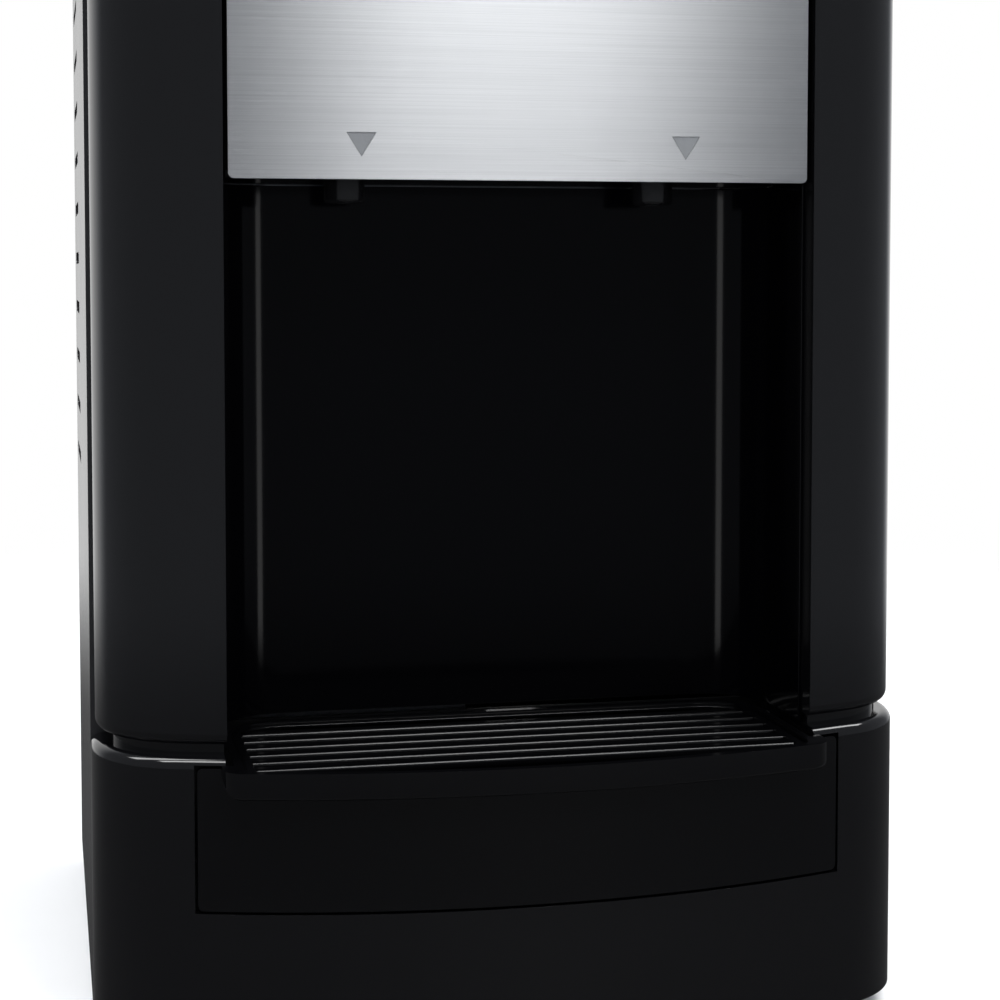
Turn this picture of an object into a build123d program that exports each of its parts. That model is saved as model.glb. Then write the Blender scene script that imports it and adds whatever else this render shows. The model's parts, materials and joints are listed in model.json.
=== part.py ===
from build123d import *
import os
from math import atan2, cos, pi, radians, sin, sqrt

# Countertop hot and cold water dispenser that takes a bottle on top.
# Millimetres, +Z up, the front faces -Y, X = 0 is the plane of symmetry of the case.
# The origin is under the centre of the whole object, on the surface it stands on.

os.makedirs("parts", exist_ok=True)

# ---------------------------------------------------------------- overall sizes
body_width = 304.0          # lower housing, side to side
body_depth = 301.0          # bowed front's apex to the rear panel
lip_reach = 13.0            # the tray's lip in front of the housing
rear_reach = 9.0            # the drain cap behind the rear panel
foot_height = 8.0
ledge_z = 113.5             # top of the lower housing
column_z = 117.2            # bottom of the columns
head_z = 313.0              # underside of the head
head_height = 149.0         # from there to the joint between the columns and the top cover
cover_height = 18.0
wall = 2.5                  # moulded covers
sheet = 1.2                 # folded steel sheet
slip = 0.4                  # gap between covers that fit into each other
snug = 0.3                  # gap between curved faces that only meet
running = 0.05              # radial clearance of a shaft in its hole

half_width = body_width / 2
cover_z = head_z + head_height
front_y = lip_reach - (lip_reach + body_depth + rear_reach) / 2
top_z = cover_z + cover_height

# ---------------------------------------------------------------- the bowed case
bow_radius = 398.0          # front of the case in plan
corner_radius = 40.0        # front corners in plan
back_radius = 4.0
housing_wall = 3.0
shoulder = 4.0              # rounding of the ledge and of the columns' lower edge
column_side_inset = 1.4
column_front_inset = 3.0
seam_depth = 66.0           # from the apex back to the seam with the side panels
neck_inset = 7.0            # dark reveal between the ledge and the columns
neck_wall = 3.0
ledge_thickness = 3.0
pan_z = foot_height + wall  # top of the base pan's floor
pan_rim = 14.0
pan_rim_wall = 2.0
pan_slots = 5
pan_slot_x = 78.0
pan_slot_half = 26.0
pan_slot_first = 120.0
pan_slot_pitch = 26.0
pan_slot_width = 5.0

# ---------------------------------------------------------------- tray drawer
drawer_half = 117.0
drawer_low = 60.0
drawer_high = ledge_z - 3.5
drawer_wall = 3.0
drawer_corner = 2.0
drawer_gap = 1.0
lip_half = 109.0
lip_low = drawer_high - 8
lip_high = drawer_high + 1.5
lip_end_radius = 6.5
lip_corner = 8.0
lip_under_round = 2.0
lip_back = 30.0
lip_rim = 3.6
shelf_half = 104.6
shelf_back = 82.4
shelf_corner = 24.0
shelf_rim = 3.0
shelf_front_corner = 6.0
mouth_gap = 2.8
grille_half = 101.2
grille_seat = lip_high - 3.9
grille_thickness = 2.8
grille_corner = 20.0
grille_fit = 0.4
slot_pitch = 11.0
slot_width = 6.2
slot_first = 6.4
slot_count = 7
slot_frame = 3.5
slot_round = 0.9
basin_half = 99.0
basin_back = 79.0
basin_low = drawer_low + 4
basin_wall = 2.0
basin_corner = 18.0
bay_half = 120.0
bay_back = 92.0
bay_low = drawer_low - 4.5
bay_wall = 2.0
bay_post_inset = 8.0
bay_post_half = 2.0
bay_post_y = 60.0
rail_x = 62.0
rail_width = 9.0
rail_front = 12.0

# ---------------------------------------------------------------- alcove and head
column_inner = 106.6
column_return = 27.0
alcove_half = 105.6
alcove_back = 83.0
alcove_corner = 25.0
liner_wall = 2.0
fascia_y = 20.0
fascia_half = 104.8
fascia_sheet = 1.2
fascia_top = cover_z - 51
fascia_corner = 2.0
marker_x = 58.7             # the spouts, buttons and markers share this place
marker_half = 5.15
marker_top = head_z + 16.2
marker_tip = head_z + 8
marker_depth = 0.4
marker_inlay = 0.2
shroud_wall = 2.5
spout_y = 62.0
spout_low = head_z - 7
spout_outer = 7.5
spout_bore = 4.5
tap_outer = 9.0
tap_seat = head_z + 0.5 + shroud_wall
tap_top = head_z + 43
tap_flange = 12.0
tap_flange_height = 2.5
spout_plug = 7.5
nipple_outer = 4.0
nipple_bore = 2.8
nipple_length = 10.0
stem_z = head_z + 33
stem_radius = 3.0
stem_head = 8.0
stem_head_y = 28.0
stem_head_thickness = 2.0
stem_end_y = 58.0
barrel_y = 40.0
barrel_outer = 8.0
water_bore = 3.5
press_travel = 5.0
spring_radius = 5.6
spring_wire = 0.9
spring_turns = 4.0

# ---------------------------------------------------------------- controls
control_low = fascia_top + 1
control_y = 18.5
control_wall = 3.0
button_half = 21.5
button_low = control_low + 11
button_high = control_low + 35
button_front = 15.5
button_corner = 5.0
button_flange = 2.0
button_gap = 0.5
button_round = 1.5
arm_half = 6.0
arm_y = 24.5
arm_wall = 3.0
arm_low = stem_z - 8
arm_rib = 3.0
arm_rib_start = 22.0
lens_radius = 2.5
lens_pitch = 14.0
lens_z = (button_low + button_high) / 2
lens_proud = 0.6
lens_collar = 1.2
lock_z = button_high + 6.6
lock_half = 5.0
lock_travel = 8.0
lock_height = 3.4
lock_front = 15.8
lock_plate = 1.8
lock_grip = 2.4
lock_groove = 0.4
board_to_button = 26.7      # from a button's middle to the board's edge
board_half = marker_x - board_to_button
board_thickness = 1.6
board_y = 26.5
board_inset = 4.0
board_post_x = board_half - 3.0
board_post_radius = 2.2
led_radius = 1.5

# ---------------------------------------------------------------- top and bottle seat
seat_y = 165.0              # bottle axis, from the apex
seat_opening = 95.0
seat_flange = 100.0
seat_flange_height = 3.0
seat_wall = 2.5
socket_radius = 31.0
socket_top = cover_z - 10
socket_floor = cover_z - 43
socket_holes = 6
socket_hole_place = 23.0
socket_hole = 2.5
probe_radius = 8.0
probe_bore = 5.0
probe_top = cover_z + 4
probe_flange = 15.0
probe_window = 5.0
cover_round = 8.0

# ---------------------------------------------------------------- cold side
cold_radius = 62.0
cold_low = head_z + 17
cold_high = socket_floor - 6
tank_wall = 0.8
cold_flange = 66.0
foam_cold = 15.0
port_x = 22.0
port_z = cold_low + 12
port_outer = 4.0
port_bore = 2.8
port_reach = 5.0
feed_x = 10.0
separator_z = cold_low + 42
separator_wall = 2.0
separator_tube = 7.0
separator_holes = 8
separator_hole_place = cold_radius - 8
separator_hole = 5.0
block_half = 20.0
block_z = cold_low + 40
block_back = seat_y + cold_radius + 19
peltier_thickness = 4.0
sink_half = 46.0
sink_base = 6.0
fin_thickness = 1.4
fin_count = 14
fan_half = 46.0
fan_depth = 15.0
fan_bore = 43.5
fan_hub = 17.0
fan_blades = 7
fan_tip_gap = 1.0
fan_pin = 2.0

# ---------------------------------------------------------------- hot side
hot_x = -62.0
hot_y = seat_y
hot_radius = 40.0
hot_clear = 44.0            # from the hot tank's top to the deck
bracket_z = 122.0
deck_z = head_z - 1
foam_floor = deck_z + sheet + 0.2
hot_low = bracket_z + 18
hot_high = deck_z - hot_clear
hot_wall = 1.0
hot_round = 4.0
hot_port_inset = 14.0
hot_port_length = 12.0
band_low = hot_low + 22
band_high = band_low + 38
band_thickness = 2.6
foam_hot = 9.0
thermostat_radius = 7.0
thermostat_height = 5.0
thermostat_x = 22.0
thermostat_blade = 5.0
bracket_half_x = 57.0
bracket_half_y = 60.0
bracket_post = 4.0
bracket_post_place = 30.0
deck_flange = 14.0
deck_slots = 7
deck_slot_half = 60.0
deck_slot_first = block_back
deck_slot_pitch = 6.0
deck_slot_width = 3.0
hose_outer = 6.2
hose_inner = 4.2
hose_front = 98.0
hose_drop = 71.0            # the cold hose's upright run
hot_hose_bend = 14.0
cold_hose_bend = 12.0
feed_hose_bend = 15.0
drain_hose_bend = 24.0

# ---------------------------------------------------------------- sides and rear
louvre_pitch = 21.4
louvre_first = 201.0
louvre_count = 11
louvre_front = 205.0
louvre_back = 275.0
louvre_height = 5.0
rear_sheet = 1.5
rear_inset = 0.5
rear_corner = 3.0
panel_low = pan_z + 0.3
panel_flange = 10.0
grille_rows = 6             # fan slots above and below the middle one
grille_row_pitch = 6.2
grille_row_width = 3.0
vent_count = 8
vent_first = 150.0
vent_pitch = 12.0
vent_half = 70.0
vent_width = 4.0
drain_x = hot_x - hot_port_inset
drain_z = 34.0
drain_nut = 12.0
drain_nut_height = 4.0
drain_outer = 8.0
drain_bore = 5.0
drain_cap_radius = 12.0
cap_grooves = 12
cap_groove = 1.4
inlet_x = 86.0
inlet_z = 40.0
inlet_half_x = 13.5
inlet_half_z = 10.0
inlet_depth = 24.0
inlet_cavity = 16.0
inlet_wall = 2.0
inlet_flange = 2.0
pin_length = 10.5
pin_places = ((-7, -1.5), (0, 2), (7, -1.5))
switch_z = 84.0
switch_x = (66.0, 106.0)
switch_half_x = 10.5
switch_half_z = 15.0
switch_depth = 16.0
switch_rim = 2.0
switch_flange = 1.5
switch_pivot = 4.0
switch_pin = 1.5
rocker_tilt = 10.0
screw_radius = 2.0
screw_head = 4.0
screw_height = 2.2
screw_cross = 2.2
screw_cross_half = 0.4
screw_rows = (30.0, 160.0, cover_z - 162, cover_z - 22)
fan_screw_inset = 5.0
foot_radius = 12.0
foot_stem = 3.8
foot_bevel = 1.5
foot_barb = 1.2
foot_x = half_width - 40
foot_front = 52.0
foot_back = body_depth - 39
supply_x = (24.0, 128.0)
supply_y = (112.0, 252.0)
supply_height = 38.0
supply_wall = 2.0
supply_slots = 9
supply_slot_pitch = 13.0
supply_slot_width = 5.0


# ---------------------------------------------------------------- helpers
def block(x0, x1, y0, y1, z0, z1):
    """Box between two corners; y is counted from the front apex."""
    centre = Pos((x0 + x1) / 2, front_y + (y0 + y1) / 2, (z0 + z1) / 2)
    return centre * Box(x1 - x0, y1 - y0, z1 - z0)


def rod_z(x, y, z0, z1, radius):
    """Upright cylinder; y is counted from the front apex."""
    return Pos(x, front_y + y, (z0 + z1) / 2) * Cylinder(radius, z1 - z0)


def rod_y(x, z, y0, y1, radius):
    """Cylinder lying front to back; y is counted from the front apex."""
    return Pos(x, front_y + (y0 + y1) / 2, z) * Rot(90, 0, 0) * Cylinder(radius, y1 - y0)


def rod_x(z, y, x0, x1, radius):
    """Cylinder lying side to side; y is counted from the front apex."""
    return Pos((x0 + x1) / 2, front_y + y, z) * Rot(0, 90, 0) * Cylinder(radius, x1 - x0)


def tube_z(x, y, z0, z1, outer, inner):
    """Upright tube."""
    return rod_z(x, y, z0, z1, outer) - rod_z(x, y, z0 - 1, z1 + 1, inner)


def bowed_plan(half, front, radius, corner, back, back_corner):
    """Plan outline: bowed front, round front corners, straight sides and a flat back."""
    centre = front + radius
    cx = half - corner
    cy = centre - sqrt((radius - corner) ** 2 - cx ** 2)
    grow = radius / (radius - corner)
    tx = cx * grow
    ty = centre - (centre - cy) * grow
    turn = atan2(cy - ty, tx - cx) / 2
    mx = cx + corner * cos(turn)
    my = cy - corner * sin(turn)
    bx = half - back_corner
    by = back - back_corner
    diag = back_corner * cos(radians(45))
    edges = [
        ThreePointArc((-tx, ty), (0, front), (tx, ty)),
        ThreePointArc((tx, ty), (mx, my), (half, cy)),
        Line((half, cy), (half, by)),
        ThreePointArc((half, by), (bx + diag, by + diag), (bx, back)),
        Line((bx, back), (-bx, back)),
        ThreePointArc((-bx, back), (-bx - diag, by + diag), (-half, by)),
        Line((-half, by), (-half, cy)),
        ThreePointArc((-half, cy), (-mx, my), (-tx, ty)),
    ]
    return Pos(0, front_y) * Face(Wire(edges))


def prism(face, z0, z1):
    """Upright prism on a plan outline."""
    return Pos(0, 0, z0) * extrude(face, amount=z1 - z0, dir=(0, 0, 1))


def lower_plan(inset):
    """The lower housing's outline, moved inwards."""
    return bowed_plan(half_width - inset, inset, bow_radius - inset, corner_radius - inset,
                      body_depth - inset, back_radius)


def upper_plan(inset):
    """The columns' and the cover's outline, moved inwards."""
    side = column_side_inset + inset
    front = column_front_inset + inset
    return bowed_plan(half_width - side, front, bow_radius - front, corner_radius - front,
                      body_depth - inset, back_radius)


def rounded_front(x0, x1, z0, z1, y0, y1, radius):
    """Plate that faces the front, with four round corners."""
    plate = block(x0, x1, y0, y1, z0, z1)
    return fillet(plate.edges().filter_by(Axis.Y), radius)


def hose(points, bends):
    """Hose along straight runs that are joined by tangent arcs."""
    path = FilletPolyline([(x, front_y + y, z) for x, y, z in points], radius=bends)
    start = path @ 0
    along = path % 0
    ring = Plane(origin=start, z_dir=along) * (Circle(hose_outer) - Circle(hose_inner))
    return sweep(ring, path=path)


def write(shape, name):
    """Write one piece to its own file."""
    export_step(shape, "parts/" + name + ".step")


# ---------------------------------------------------------------- base and lower housing
def foot_places():
    """Centres of the four feet."""
    return [(x, y) for y in (foot_front, foot_back) for x in (-foot_x, foot_x)]


def make_base_pan():
    low = foot_height
    inset = housing_wall + slip
    pan = prism(lower_plan(inset), low, pan_z)
    rim = prism(lower_plan(inset), pan_z, low + pan_rim)
    rim -= prism(lower_plan(inset + pan_rim_wall), low, low + pan_rim + 1)
    rim -= block(-half_width, half_width, seam_depth - 2, body_depth + 1, low, low + pan_rim + 1)
    pan += rim
    for x, y in foot_places():
        pan -= rod_z(x, y, low - 1, pan_z + 1, foot_stem + 0.2)
    for row in range(pan_slots):
        y = pan_slot_first + pan_slot_pitch * row
        for x in (-pan_slot_x, pan_slot_x):
            pan -= block(x - pan_slot_half, x + pan_slot_half, y, y + pan_slot_width, low - 1, pan_z + 1)
    return pan


def make_rubber_feet():
    feet = []
    for x, y in foot_places():
        pad = rod_z(x, y, 0, foot_height, foot_radius)
        pad = chamfer(pad.edges().group_by(Axis.Z)[0], foot_bevel)
        stem = rod_z(x, y, foot_height - 0.5, pan_z + 1, foot_stem)
        barb = rod_z(x, y, pan_z + 0.3, pan_z + wall, foot_stem + foot_barb)
        feet.append(pad + stem + barb)
    return Compound(children=feet)


def make_lower_front_housing():
    outer = prism(lower_plan(0), foot_height, ledge_z)
    outer = fillet(outer.edges().group_by(Axis.Z)[-1], shoulder)
    outer -= prism(lower_plan(housing_wall), foot_height - 1, ledge_z - ledge_thickness)
    outer &= block(-half_width - 1, half_width + 1, -1, seam_depth, foot_height - 1, ledge_z + 1)
    neck = prism(lower_plan(neck_inset), ledge_z - 0.5, column_z - 0.2)
    neck -= prism(lower_plan(neck_inset + neck_wall), ledge_z - 1, column_z + 1)
    neck &= block(-half_width, half_width, 0, seam_depth, ledge_z - 1, column_z)
    housing = outer + neck
    mouth = shelf_half + mouth_gap
    housing -= block(-mouth, mouth, -1, bay_back + 1, drawer_high, column_z + 1)
    opening = drawer_half + drawer_gap
    housing -= block(-opening, opening, -1, corner_radius, drawer_low - drawer_gap, drawer_high + drawer_gap)
    return housing


def make_tray_bay():
    top = ledge_z - ledge_thickness - 0.2
    bay = prism(lower_plan(housing_wall + slip), bay_low, top)
    bay &= block(-bay_half, bay_half, 0, bay_back, bay_low, top)
    inner = bay_half - bay_wall
    bay -= block(-inner, inner, -1, bay_back - bay_wall, bay_low + bay_wall, top + 1)
    for side in (-1, 1):
        low_x = side * rail_x - rail_width / 2
        bay += block(low_x, low_x + rail_width, rail_front, bay_back - 4, bay_low + 1, basin_low - slip)
        post_x = side * (bay_half - bay_post_inset)
        bay += block(post_x - bay_post_half, post_x + bay_post_half, bay_post_y, bay_back - 1,
                     pan_z + 0.2, bay_low + 1)
    return bay


# ---------------------------------------------------------------- drip tray drawer
def tray_plan(half, reach, corner, back, back_corner):
    """Outline of the lip, shelf and grille, which follow the bowed front."""
    return bowed_plan(half, -reach, bow_radius + reach, corner, back, back_corner)


def make_drip_tray():
    rim_front = lip_reach - lip_rim
    panel = prism(lower_plan(0), drawer_low, drawer_high)
    panel -= prism(lower_plan(drawer_wall), drawer_low - 1, drawer_high + 1)
    panel &= rounded_front(-drawer_half, drawer_half, drawer_low, drawer_high, -2, corner_radius,
                           drawer_corner)
    lip = prism(tray_plan(lip_half, lip_reach, lip_corner, lip_back, drawer_corner), lip_low, lip_high)
    lip = fillet(lip.edges().group_by(Axis.Z)[0], lip_under_round)
    lip &= rounded_front(-lip_half, lip_half, lip_low, lip_high + 10, -lip_reach - 2, lip_back + 2,
                         lip_end_radius)
    lip -= prism(lower_plan(drawer_wall / 2), lip_low - 1, drawer_high)
    lip -= prism(lower_plan(-drawer_gap), drawer_high, lip_high + 1)
    rim = prism(tray_plan(shelf_half, lip_reach - 0.5, shelf_front_corner, shelf_back, shelf_corner),
                grille_seat - basin_wall, lip_high)
    basin = prism(lower_plan(2), basin_low, grille_seat)
    basin &= prism(tray_plan(basin_half, lip_reach, 6, basin_back, basin_corner), basin_low, grille_seat)
    tray = panel + lip + rim + basin
    tray -= prism(tray_plan(grille_half + grille_fit, rim_front, 4, shelf_back - shelf_rim, grille_corner),
                  grille_seat, lip_high + 1)
    floor = basin_low + basin_wall
    hollow = prism(lower_plan(3.5), floor, grille_seat + 1)
    hollow &= prism(tray_plan(basin_half - basin_wall, lip_reach, 5, basin_back - basin_wall,
                              basin_corner - basin_wall), floor, grille_seat + 1)
    return tray - hollow


def make_drip_grille():
    plan = tray_plan(grille_half, lip_reach - lip_rim - grille_fit, 4,
                     shelf_back - shelf_rim - grille_fit, grille_corner - grille_fit)
    plate = prism(plan, grille_seat + 0.1, grille_seat + grille_thickness)
    plate = fillet(plate.edges().group_by(Axis.Z)[-1], slot_round)
    for i in range(slot_count):
        y = slot_first + slot_pitch * i
        reach = slot_half(y)
        slot = block(-reach, reach, y - slot_width / 2, y + slot_width / 2, grille_seat - 1, grille_seat + 5)
        plate -= fillet(slot.edges().filter_by(Axis.Z), slot_width / 2 - 0.05)
    return plate


def slot_half(y):
    """Half length of a slot: it keeps a frame's width from the grille's outline."""
    straight = grille_half - slot_frame
    front_radius = bow_radius + lip_reach - lip_rim - grille_fit
    to_centre = bow_radius - y + slot_width / 2 + slot_frame
    front_limit = sqrt(max(front_radius ** 2 - to_centre ** 2, 0))
    over = max(y + slot_width / 2 - (shelf_back - shelf_rim - grille_fit - grille_corner), 0)
    back_limit = grille_half - grille_corner + sqrt((grille_corner - slot_frame) ** 2 - over ** 2)
    return min(straight, front_limit, back_limit)


# ---------------------------------------------------------------- columns and top cover
def make_columns():
    outer = prism(upper_plan(0), column_z, cover_z)
    outer = fillet(outer.edges().group_by(Axis.Z)[0], shoulder)
    outer -= prism(upper_plan(wall), column_z + wall, cover_z + 1)
    sides = []
    for side in (-1, 1):
        column = outer & block(*sorted((side * column_inner, side * half_width)), -1, seam_depth,
                               column_z - 1, cover_z + 1)
        x0, x1 = sorted((side * column_inner, side * (column_inner + wall)))
        inner = prism(upper_plan(0.5), column_z + 1, cover_z)
        column += inner & block(x0, x1, 0, column_return, column_z + 1, cover_z)
        x0, x1 = sorted((0, side * (alcove_half + liner_wall + slip)))
        column -= block(x0, x1, column_return, seam_depth + 1, column_z - 1, cover_z + 1)
        sides.append(column)
    return sides


def make_top_cover():
    cover = prism(upper_plan(0), cover_z + 0.3, top_z)
    cover = fillet(cover.edges().group_by(Axis.Z)[-1], cover_round)
    inside = prism(upper_plan(wall), cover_z - 1, top_z - wall)
    visor = block(-half_width, half_width, -1, control_y + control_wall + 1, cover_z, cover_z + wall + 0.3)
    cover -= inside - visor
    cover -= rod_z(0, seat_y, cover_z - 1, top_z + 1, seat_opening)
    return cover


# ---------------------------------------------------------------- alcove and head
def alcove_plan(outset):
    """Horseshoe of the alcove's walls, open to the front."""
    half = alcove_half + outset
    back = alcove_back + outset
    corner = alcove_corner + outset
    start = column_return + 0.3
    plan = Pos(0, front_y + (start + back) / 2) * Rectangle(2 * half, back - start)
    return fillet(plan.vertices().group_by(Axis.Y)[-1], corner)


def make_alcove_liner():
    low = ledge_z + 0.2
    liner = extrude(Pos(0, 0, low) * alcove_plan(liner_wall), amount=head_z - low, dir=(0, 0, 1))
    return liner - extrude(Pos(0, 0, low - 1) * alcove_plan(0), amount=head_z, dir=(0, 0, 1))


def make_head_shroud():
    low = head_z + 0.3
    deck = block(-alcove_half, alcove_half, fascia_y + fascia_sheet + 0.2, alcove_back + liner_wall,
                 low, low + shroud_wall)
    back = block(-fascia_half + 1, fascia_half - 1, fascia_y + fascia_sheet,
                 fascia_y + fascia_sheet + shroud_wall, low, fascia_top)
    shroud = deck + back
    for side in (-1, 1):
        shroud -= rod_z(side * marker_x, spout_y, low - 1, low + shroud_wall + 1, spout_outer + 1)
        x0, x1 = sorted((side * (fascia_half - 1), side * (fascia_half - 1 - shroud_wall)))
        shroud += block(x0, x1, fascia_y + fascia_sheet, column_return + 6, low, fascia_top)
    return shroud


def triangle(x, depth):
    """A downward triangle that marks a spout, as deep as given."""
    corners = [(x - marker_half, marker_top), (x + marker_half, marker_top), (x, marker_tip)]
    y = front_y + fascia_y
    outline = Polyline([(px, y, pz) for px, pz in corners], close=True)
    return extrude(Face(Wire(outline.edges())), amount=depth, dir=(0, 1, 0))


def make_stainless_fascia():
    panel = block(-fascia_half, fascia_half, fascia_y, fascia_y + fascia_sheet, head_z, fascia_top)
    panel = fillet(panel.edges().filter_by(Axis.Y), fascia_corner)
    for side in (-1, 1):
        panel -= triangle(side * marker_x, marker_depth)
    return panel


def make_spout_markers():
    inlays = []
    for side in (-1, 1):
        inlay = triangle(side * marker_x, marker_depth)
        inlay -= block(-half_width, half_width, fascia_y - 1, fascia_y + marker_inlay,
                       marker_tip - 1, marker_top + 1)
        inlays.append(inlay)
    return Compound(children=inlays)


def make_control_fascia():
    plate = block(-fascia_half, fascia_half, control_y, control_y + control_wall, control_low, cover_z)
    plate = fillet(plate.edges().filter_by(Axis.Y), fascia_corner)
    for side in (-1, 1):
        x = side * marker_x
        plate -= rounded_front(x - button_half - button_gap, x + button_half + button_gap,
                               button_low - button_gap, button_high + button_gap,
                               control_y - 1, control_y + control_wall + 1, button_corner + button_gap)
    for i in (-1, 0, 1):
        plate -= rod_y(i * lens_pitch, lens_z, control_y - 1, control_y + control_wall + 1, lens_radius + 0.1)
    slot_x0 = -marker_x - lock_half - 0.4
    slot_x1 = -marker_x + lock_travel + lock_half + 0.4
    plate -= block(slot_x0, slot_x1, control_y - 1, control_y + control_wall + 1,
                   lock_z - lock_height / 2 - 0.3, lock_z + lock_height / 2 + 0.3)
    return plate


def make_button(side):
    x = side * marker_x
    cap = rounded_front(x - button_half, x + button_half, button_low, button_high,
                        button_front, arm_y, button_corner)
    cap = fillet(cap.faces().sort_by(Axis.Y)[0].edges(), button_round)
    flange = rounded_front(x - button_half - button_flange, x + button_half + button_flange,
                           button_low - button_flange, button_high + button_flange,
                           control_y + control_wall + button_gap, arm_y, button_corner)
    arm = block(x - arm_half, x + arm_half, arm_y - 0.1, arm_y + arm_wall, arm_low, button_high)
    rib = block(x - 1, x + 1, arm_y + arm_wall - 0.1, arm_y + arm_wall + arm_rib, arm_low + arm_rib_start,
                button_high)
    return cap + flange + arm + rib


def make_child_lock():
    knob = block(-marker_x - lock_half, -marker_x + lock_half, lock_front, control_y + control_wall + 0.4,
                 lock_z - lock_height / 2, lock_z + lock_height / 2)
    plate_y = control_y + control_wall + 0.4
    plate = block(-marker_x - lock_half - 6, -marker_x + lock_half + 2, plate_y, plate_y + lock_plate,
                  lock_z - lock_height / 2 - 1, lock_z + lock_height / 2 + 1)
    for i in (-1, 0, 1):
        middle = -marker_x + lock_grip * i
        groove = block(middle - lock_groove, middle + lock_groove, lock_front - 1, lock_front + 0.6,
                       lock_z - lock_height, lock_z + lock_height)
        knob -= groove
    return knob + plate


def make_indicator_lenses():
    lenses = []
    for i in (-1, 0, 1):
        behind = control_y + control_wall
        lens = rod_y(i * lens_pitch, lens_z, control_y - lens_proud, behind, lens_radius)
        collar = rod_y(i * lens_pitch, lens_z, behind, behind + lens_collar, lens_radius + 1)
        lenses.append(lens + collar)
    return Compound(children=lenses)


def make_control_board():
    board_low = control_low + board_inset
    board_high = cover_z - board_inset
    face = board_y + board_thickness - 0.1
    board = block(-board_half, board_half, board_y, board_y + board_thickness, board_low, board_high)
    for i in (-1, 0, 1):
        led_start = control_y + control_wall + lens_collar + 0.3
        board += rod_y(i * lens_pitch, lens_z, led_start, board_y + 0.1, led_radius)
    board += block(-10, 6, face, face + 2.1, lens_z + 5, lens_z + 17)
    board += block(12, 26, face, face + 7.1, board_low + 3, board_low + 11)
    for x in (-board_post_x, board_post_x):
        for z in (board_low + 3, board_high - 3):
            board += rod_y(x, z, control_y + control_wall + 0.1, board_y + 0.1, board_post_radius)
    return board


# ---------------------------------------------------------------- taps
def make_tap_body(side):
    x = side * marker_x
    low = tap_seat
    body = rod_z(x, spout_y, low, tap_top, tap_outer)
    body += rod_z(x, spout_y, low, low + tap_flange_height, tap_flange)
    body += rod_y(x, stem_z, barrel_y, spout_y, barrel_outer)
    body += rod_z(x, spout_y, tap_top - 1, tap_top + nipple_length, nipple_outer)
    body -= rod_z(x, spout_y, low - 1, tap_top - 2, water_bore)
    body -= rod_z(x, spout_y, tap_top - 3, tap_top + nipple_length + 1, nipple_bore)
    body -= rod_y(x, stem_z, barrel_y - 1, stem_end_y + press_travel + 1, stem_radius + running)
    body -= rod_z(x, spout_y, low - 1, low + spout_plug + 0.5, spout_outer - 1.5 + running)
    return body


def make_tap_stem(side):
    x = side * marker_x
    stem = rod_y(x, stem_z, stem_head_y, stem_end_y, stem_radius)
    head = rod_y(x, stem_z, stem_head_y, stem_head_y + stem_head_thickness, stem_head)
    return stem + head


def make_tap_spring(side):
    x = side * marker_x
    start = stem_head_y + stem_head_thickness + spring_wire + 0.1
    length = barrel_y - 0.1 - spring_wire - start
    path = Helix(length / spring_turns, length, spring_radius)
    wire = Plane(origin=path @ 0, z_dir=path % 0) * Circle(spring_wire)
    coil = sweep(wire, path=path)
    return Pos(x, front_y + start, stem_z) * Rot(-90, 0, 0) * coil


def make_spout(side):
    x = side * marker_x
    nozzle = rod_z(x, spout_y, spout_low, tap_seat - 0.1, spout_outer)
    nozzle = fillet(nozzle.edges().group_by(Axis.Z)[0], 1.5)
    nozzle += rod_z(x, spout_y, tap_seat - 1, tap_seat + spout_plug, spout_outer - 1.5)
    return nozzle - rod_z(x, spout_y, spout_low - 1, tap_seat + spout_plug + 1, spout_bore)


# ---------------------------------------------------------------- bottle seat
def make_bottle_seat():
    inner_flange = seat_opening - 3
    profile = [
        (inner_flange - 4, top_z + seat_flange_height),
        (seat_flange, top_z + seat_flange_height),
        (seat_flange, top_z + 0.2),
        (inner_flange, top_z + 0.2),
        (inner_flange - 1, top_z - 6),
        (socket_radius + seat_wall, socket_top - seat_wall),
        (socket_radius + seat_wall, socket_floor),
        (cold_flange - 2, socket_floor),
        (cold_flange - 2, socket_floor - seat_wall),
        (probe_bore, socket_floor - seat_wall),
        (probe_bore, socket_floor),
        (socket_radius, socket_floor),
        (socket_radius, socket_top),
        (inner_flange - 5, top_z - 4),
    ]
    outline = Polyline([(r, 0, z) for r, z in profile], close=True)
    turned = revolve(Face(Wire(outline.edges())), axis=Axis.Z, revolution_arc=360)
    seat = Pos(0, front_y + seat_y) * turned
    for i in range(socket_holes):
        angle = 2 * pi * (i + 0.5) / socket_holes
        x = socket_hole_place * cos(angle)
        y = seat_y + socket_hole_place * sin(angle)
        seat -= rod_z(x, y, socket_floor - 5, socket_floor + 1, socket_hole)
    return seat


def make_bottle_probe():
    probe = rod_z(0, seat_y, socket_floor + 0.1, probe_top, probe_radius)
    probe = chamfer(probe.edges().group_by(Axis.Z)[-1], 4, 2.5)
    probe += rod_z(0, seat_y, socket_floor + 0.1, socket_floor + 3, probe_flange)
    probe -= rod_z(0, seat_y, socket_floor - 1, probe_top - 5, probe_bore)
    window_z = probe_top - 12
    probe -= block(-20, 20, seat_y - probe_window / 2, seat_y + probe_window / 2, window_z - 4, window_z + 3)
    probe -= block(-probe_window / 2, probe_window / 2, seat_y - 20, seat_y + 20, window_z - 4, window_z + 3)
    return probe


def make_seat_gasket():
    low = cold_high + 0.1
    return tube_z(0, seat_y, low, socket_floor - seat_wall - 0.1, cold_flange - 1, cold_radius - 2)


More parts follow.
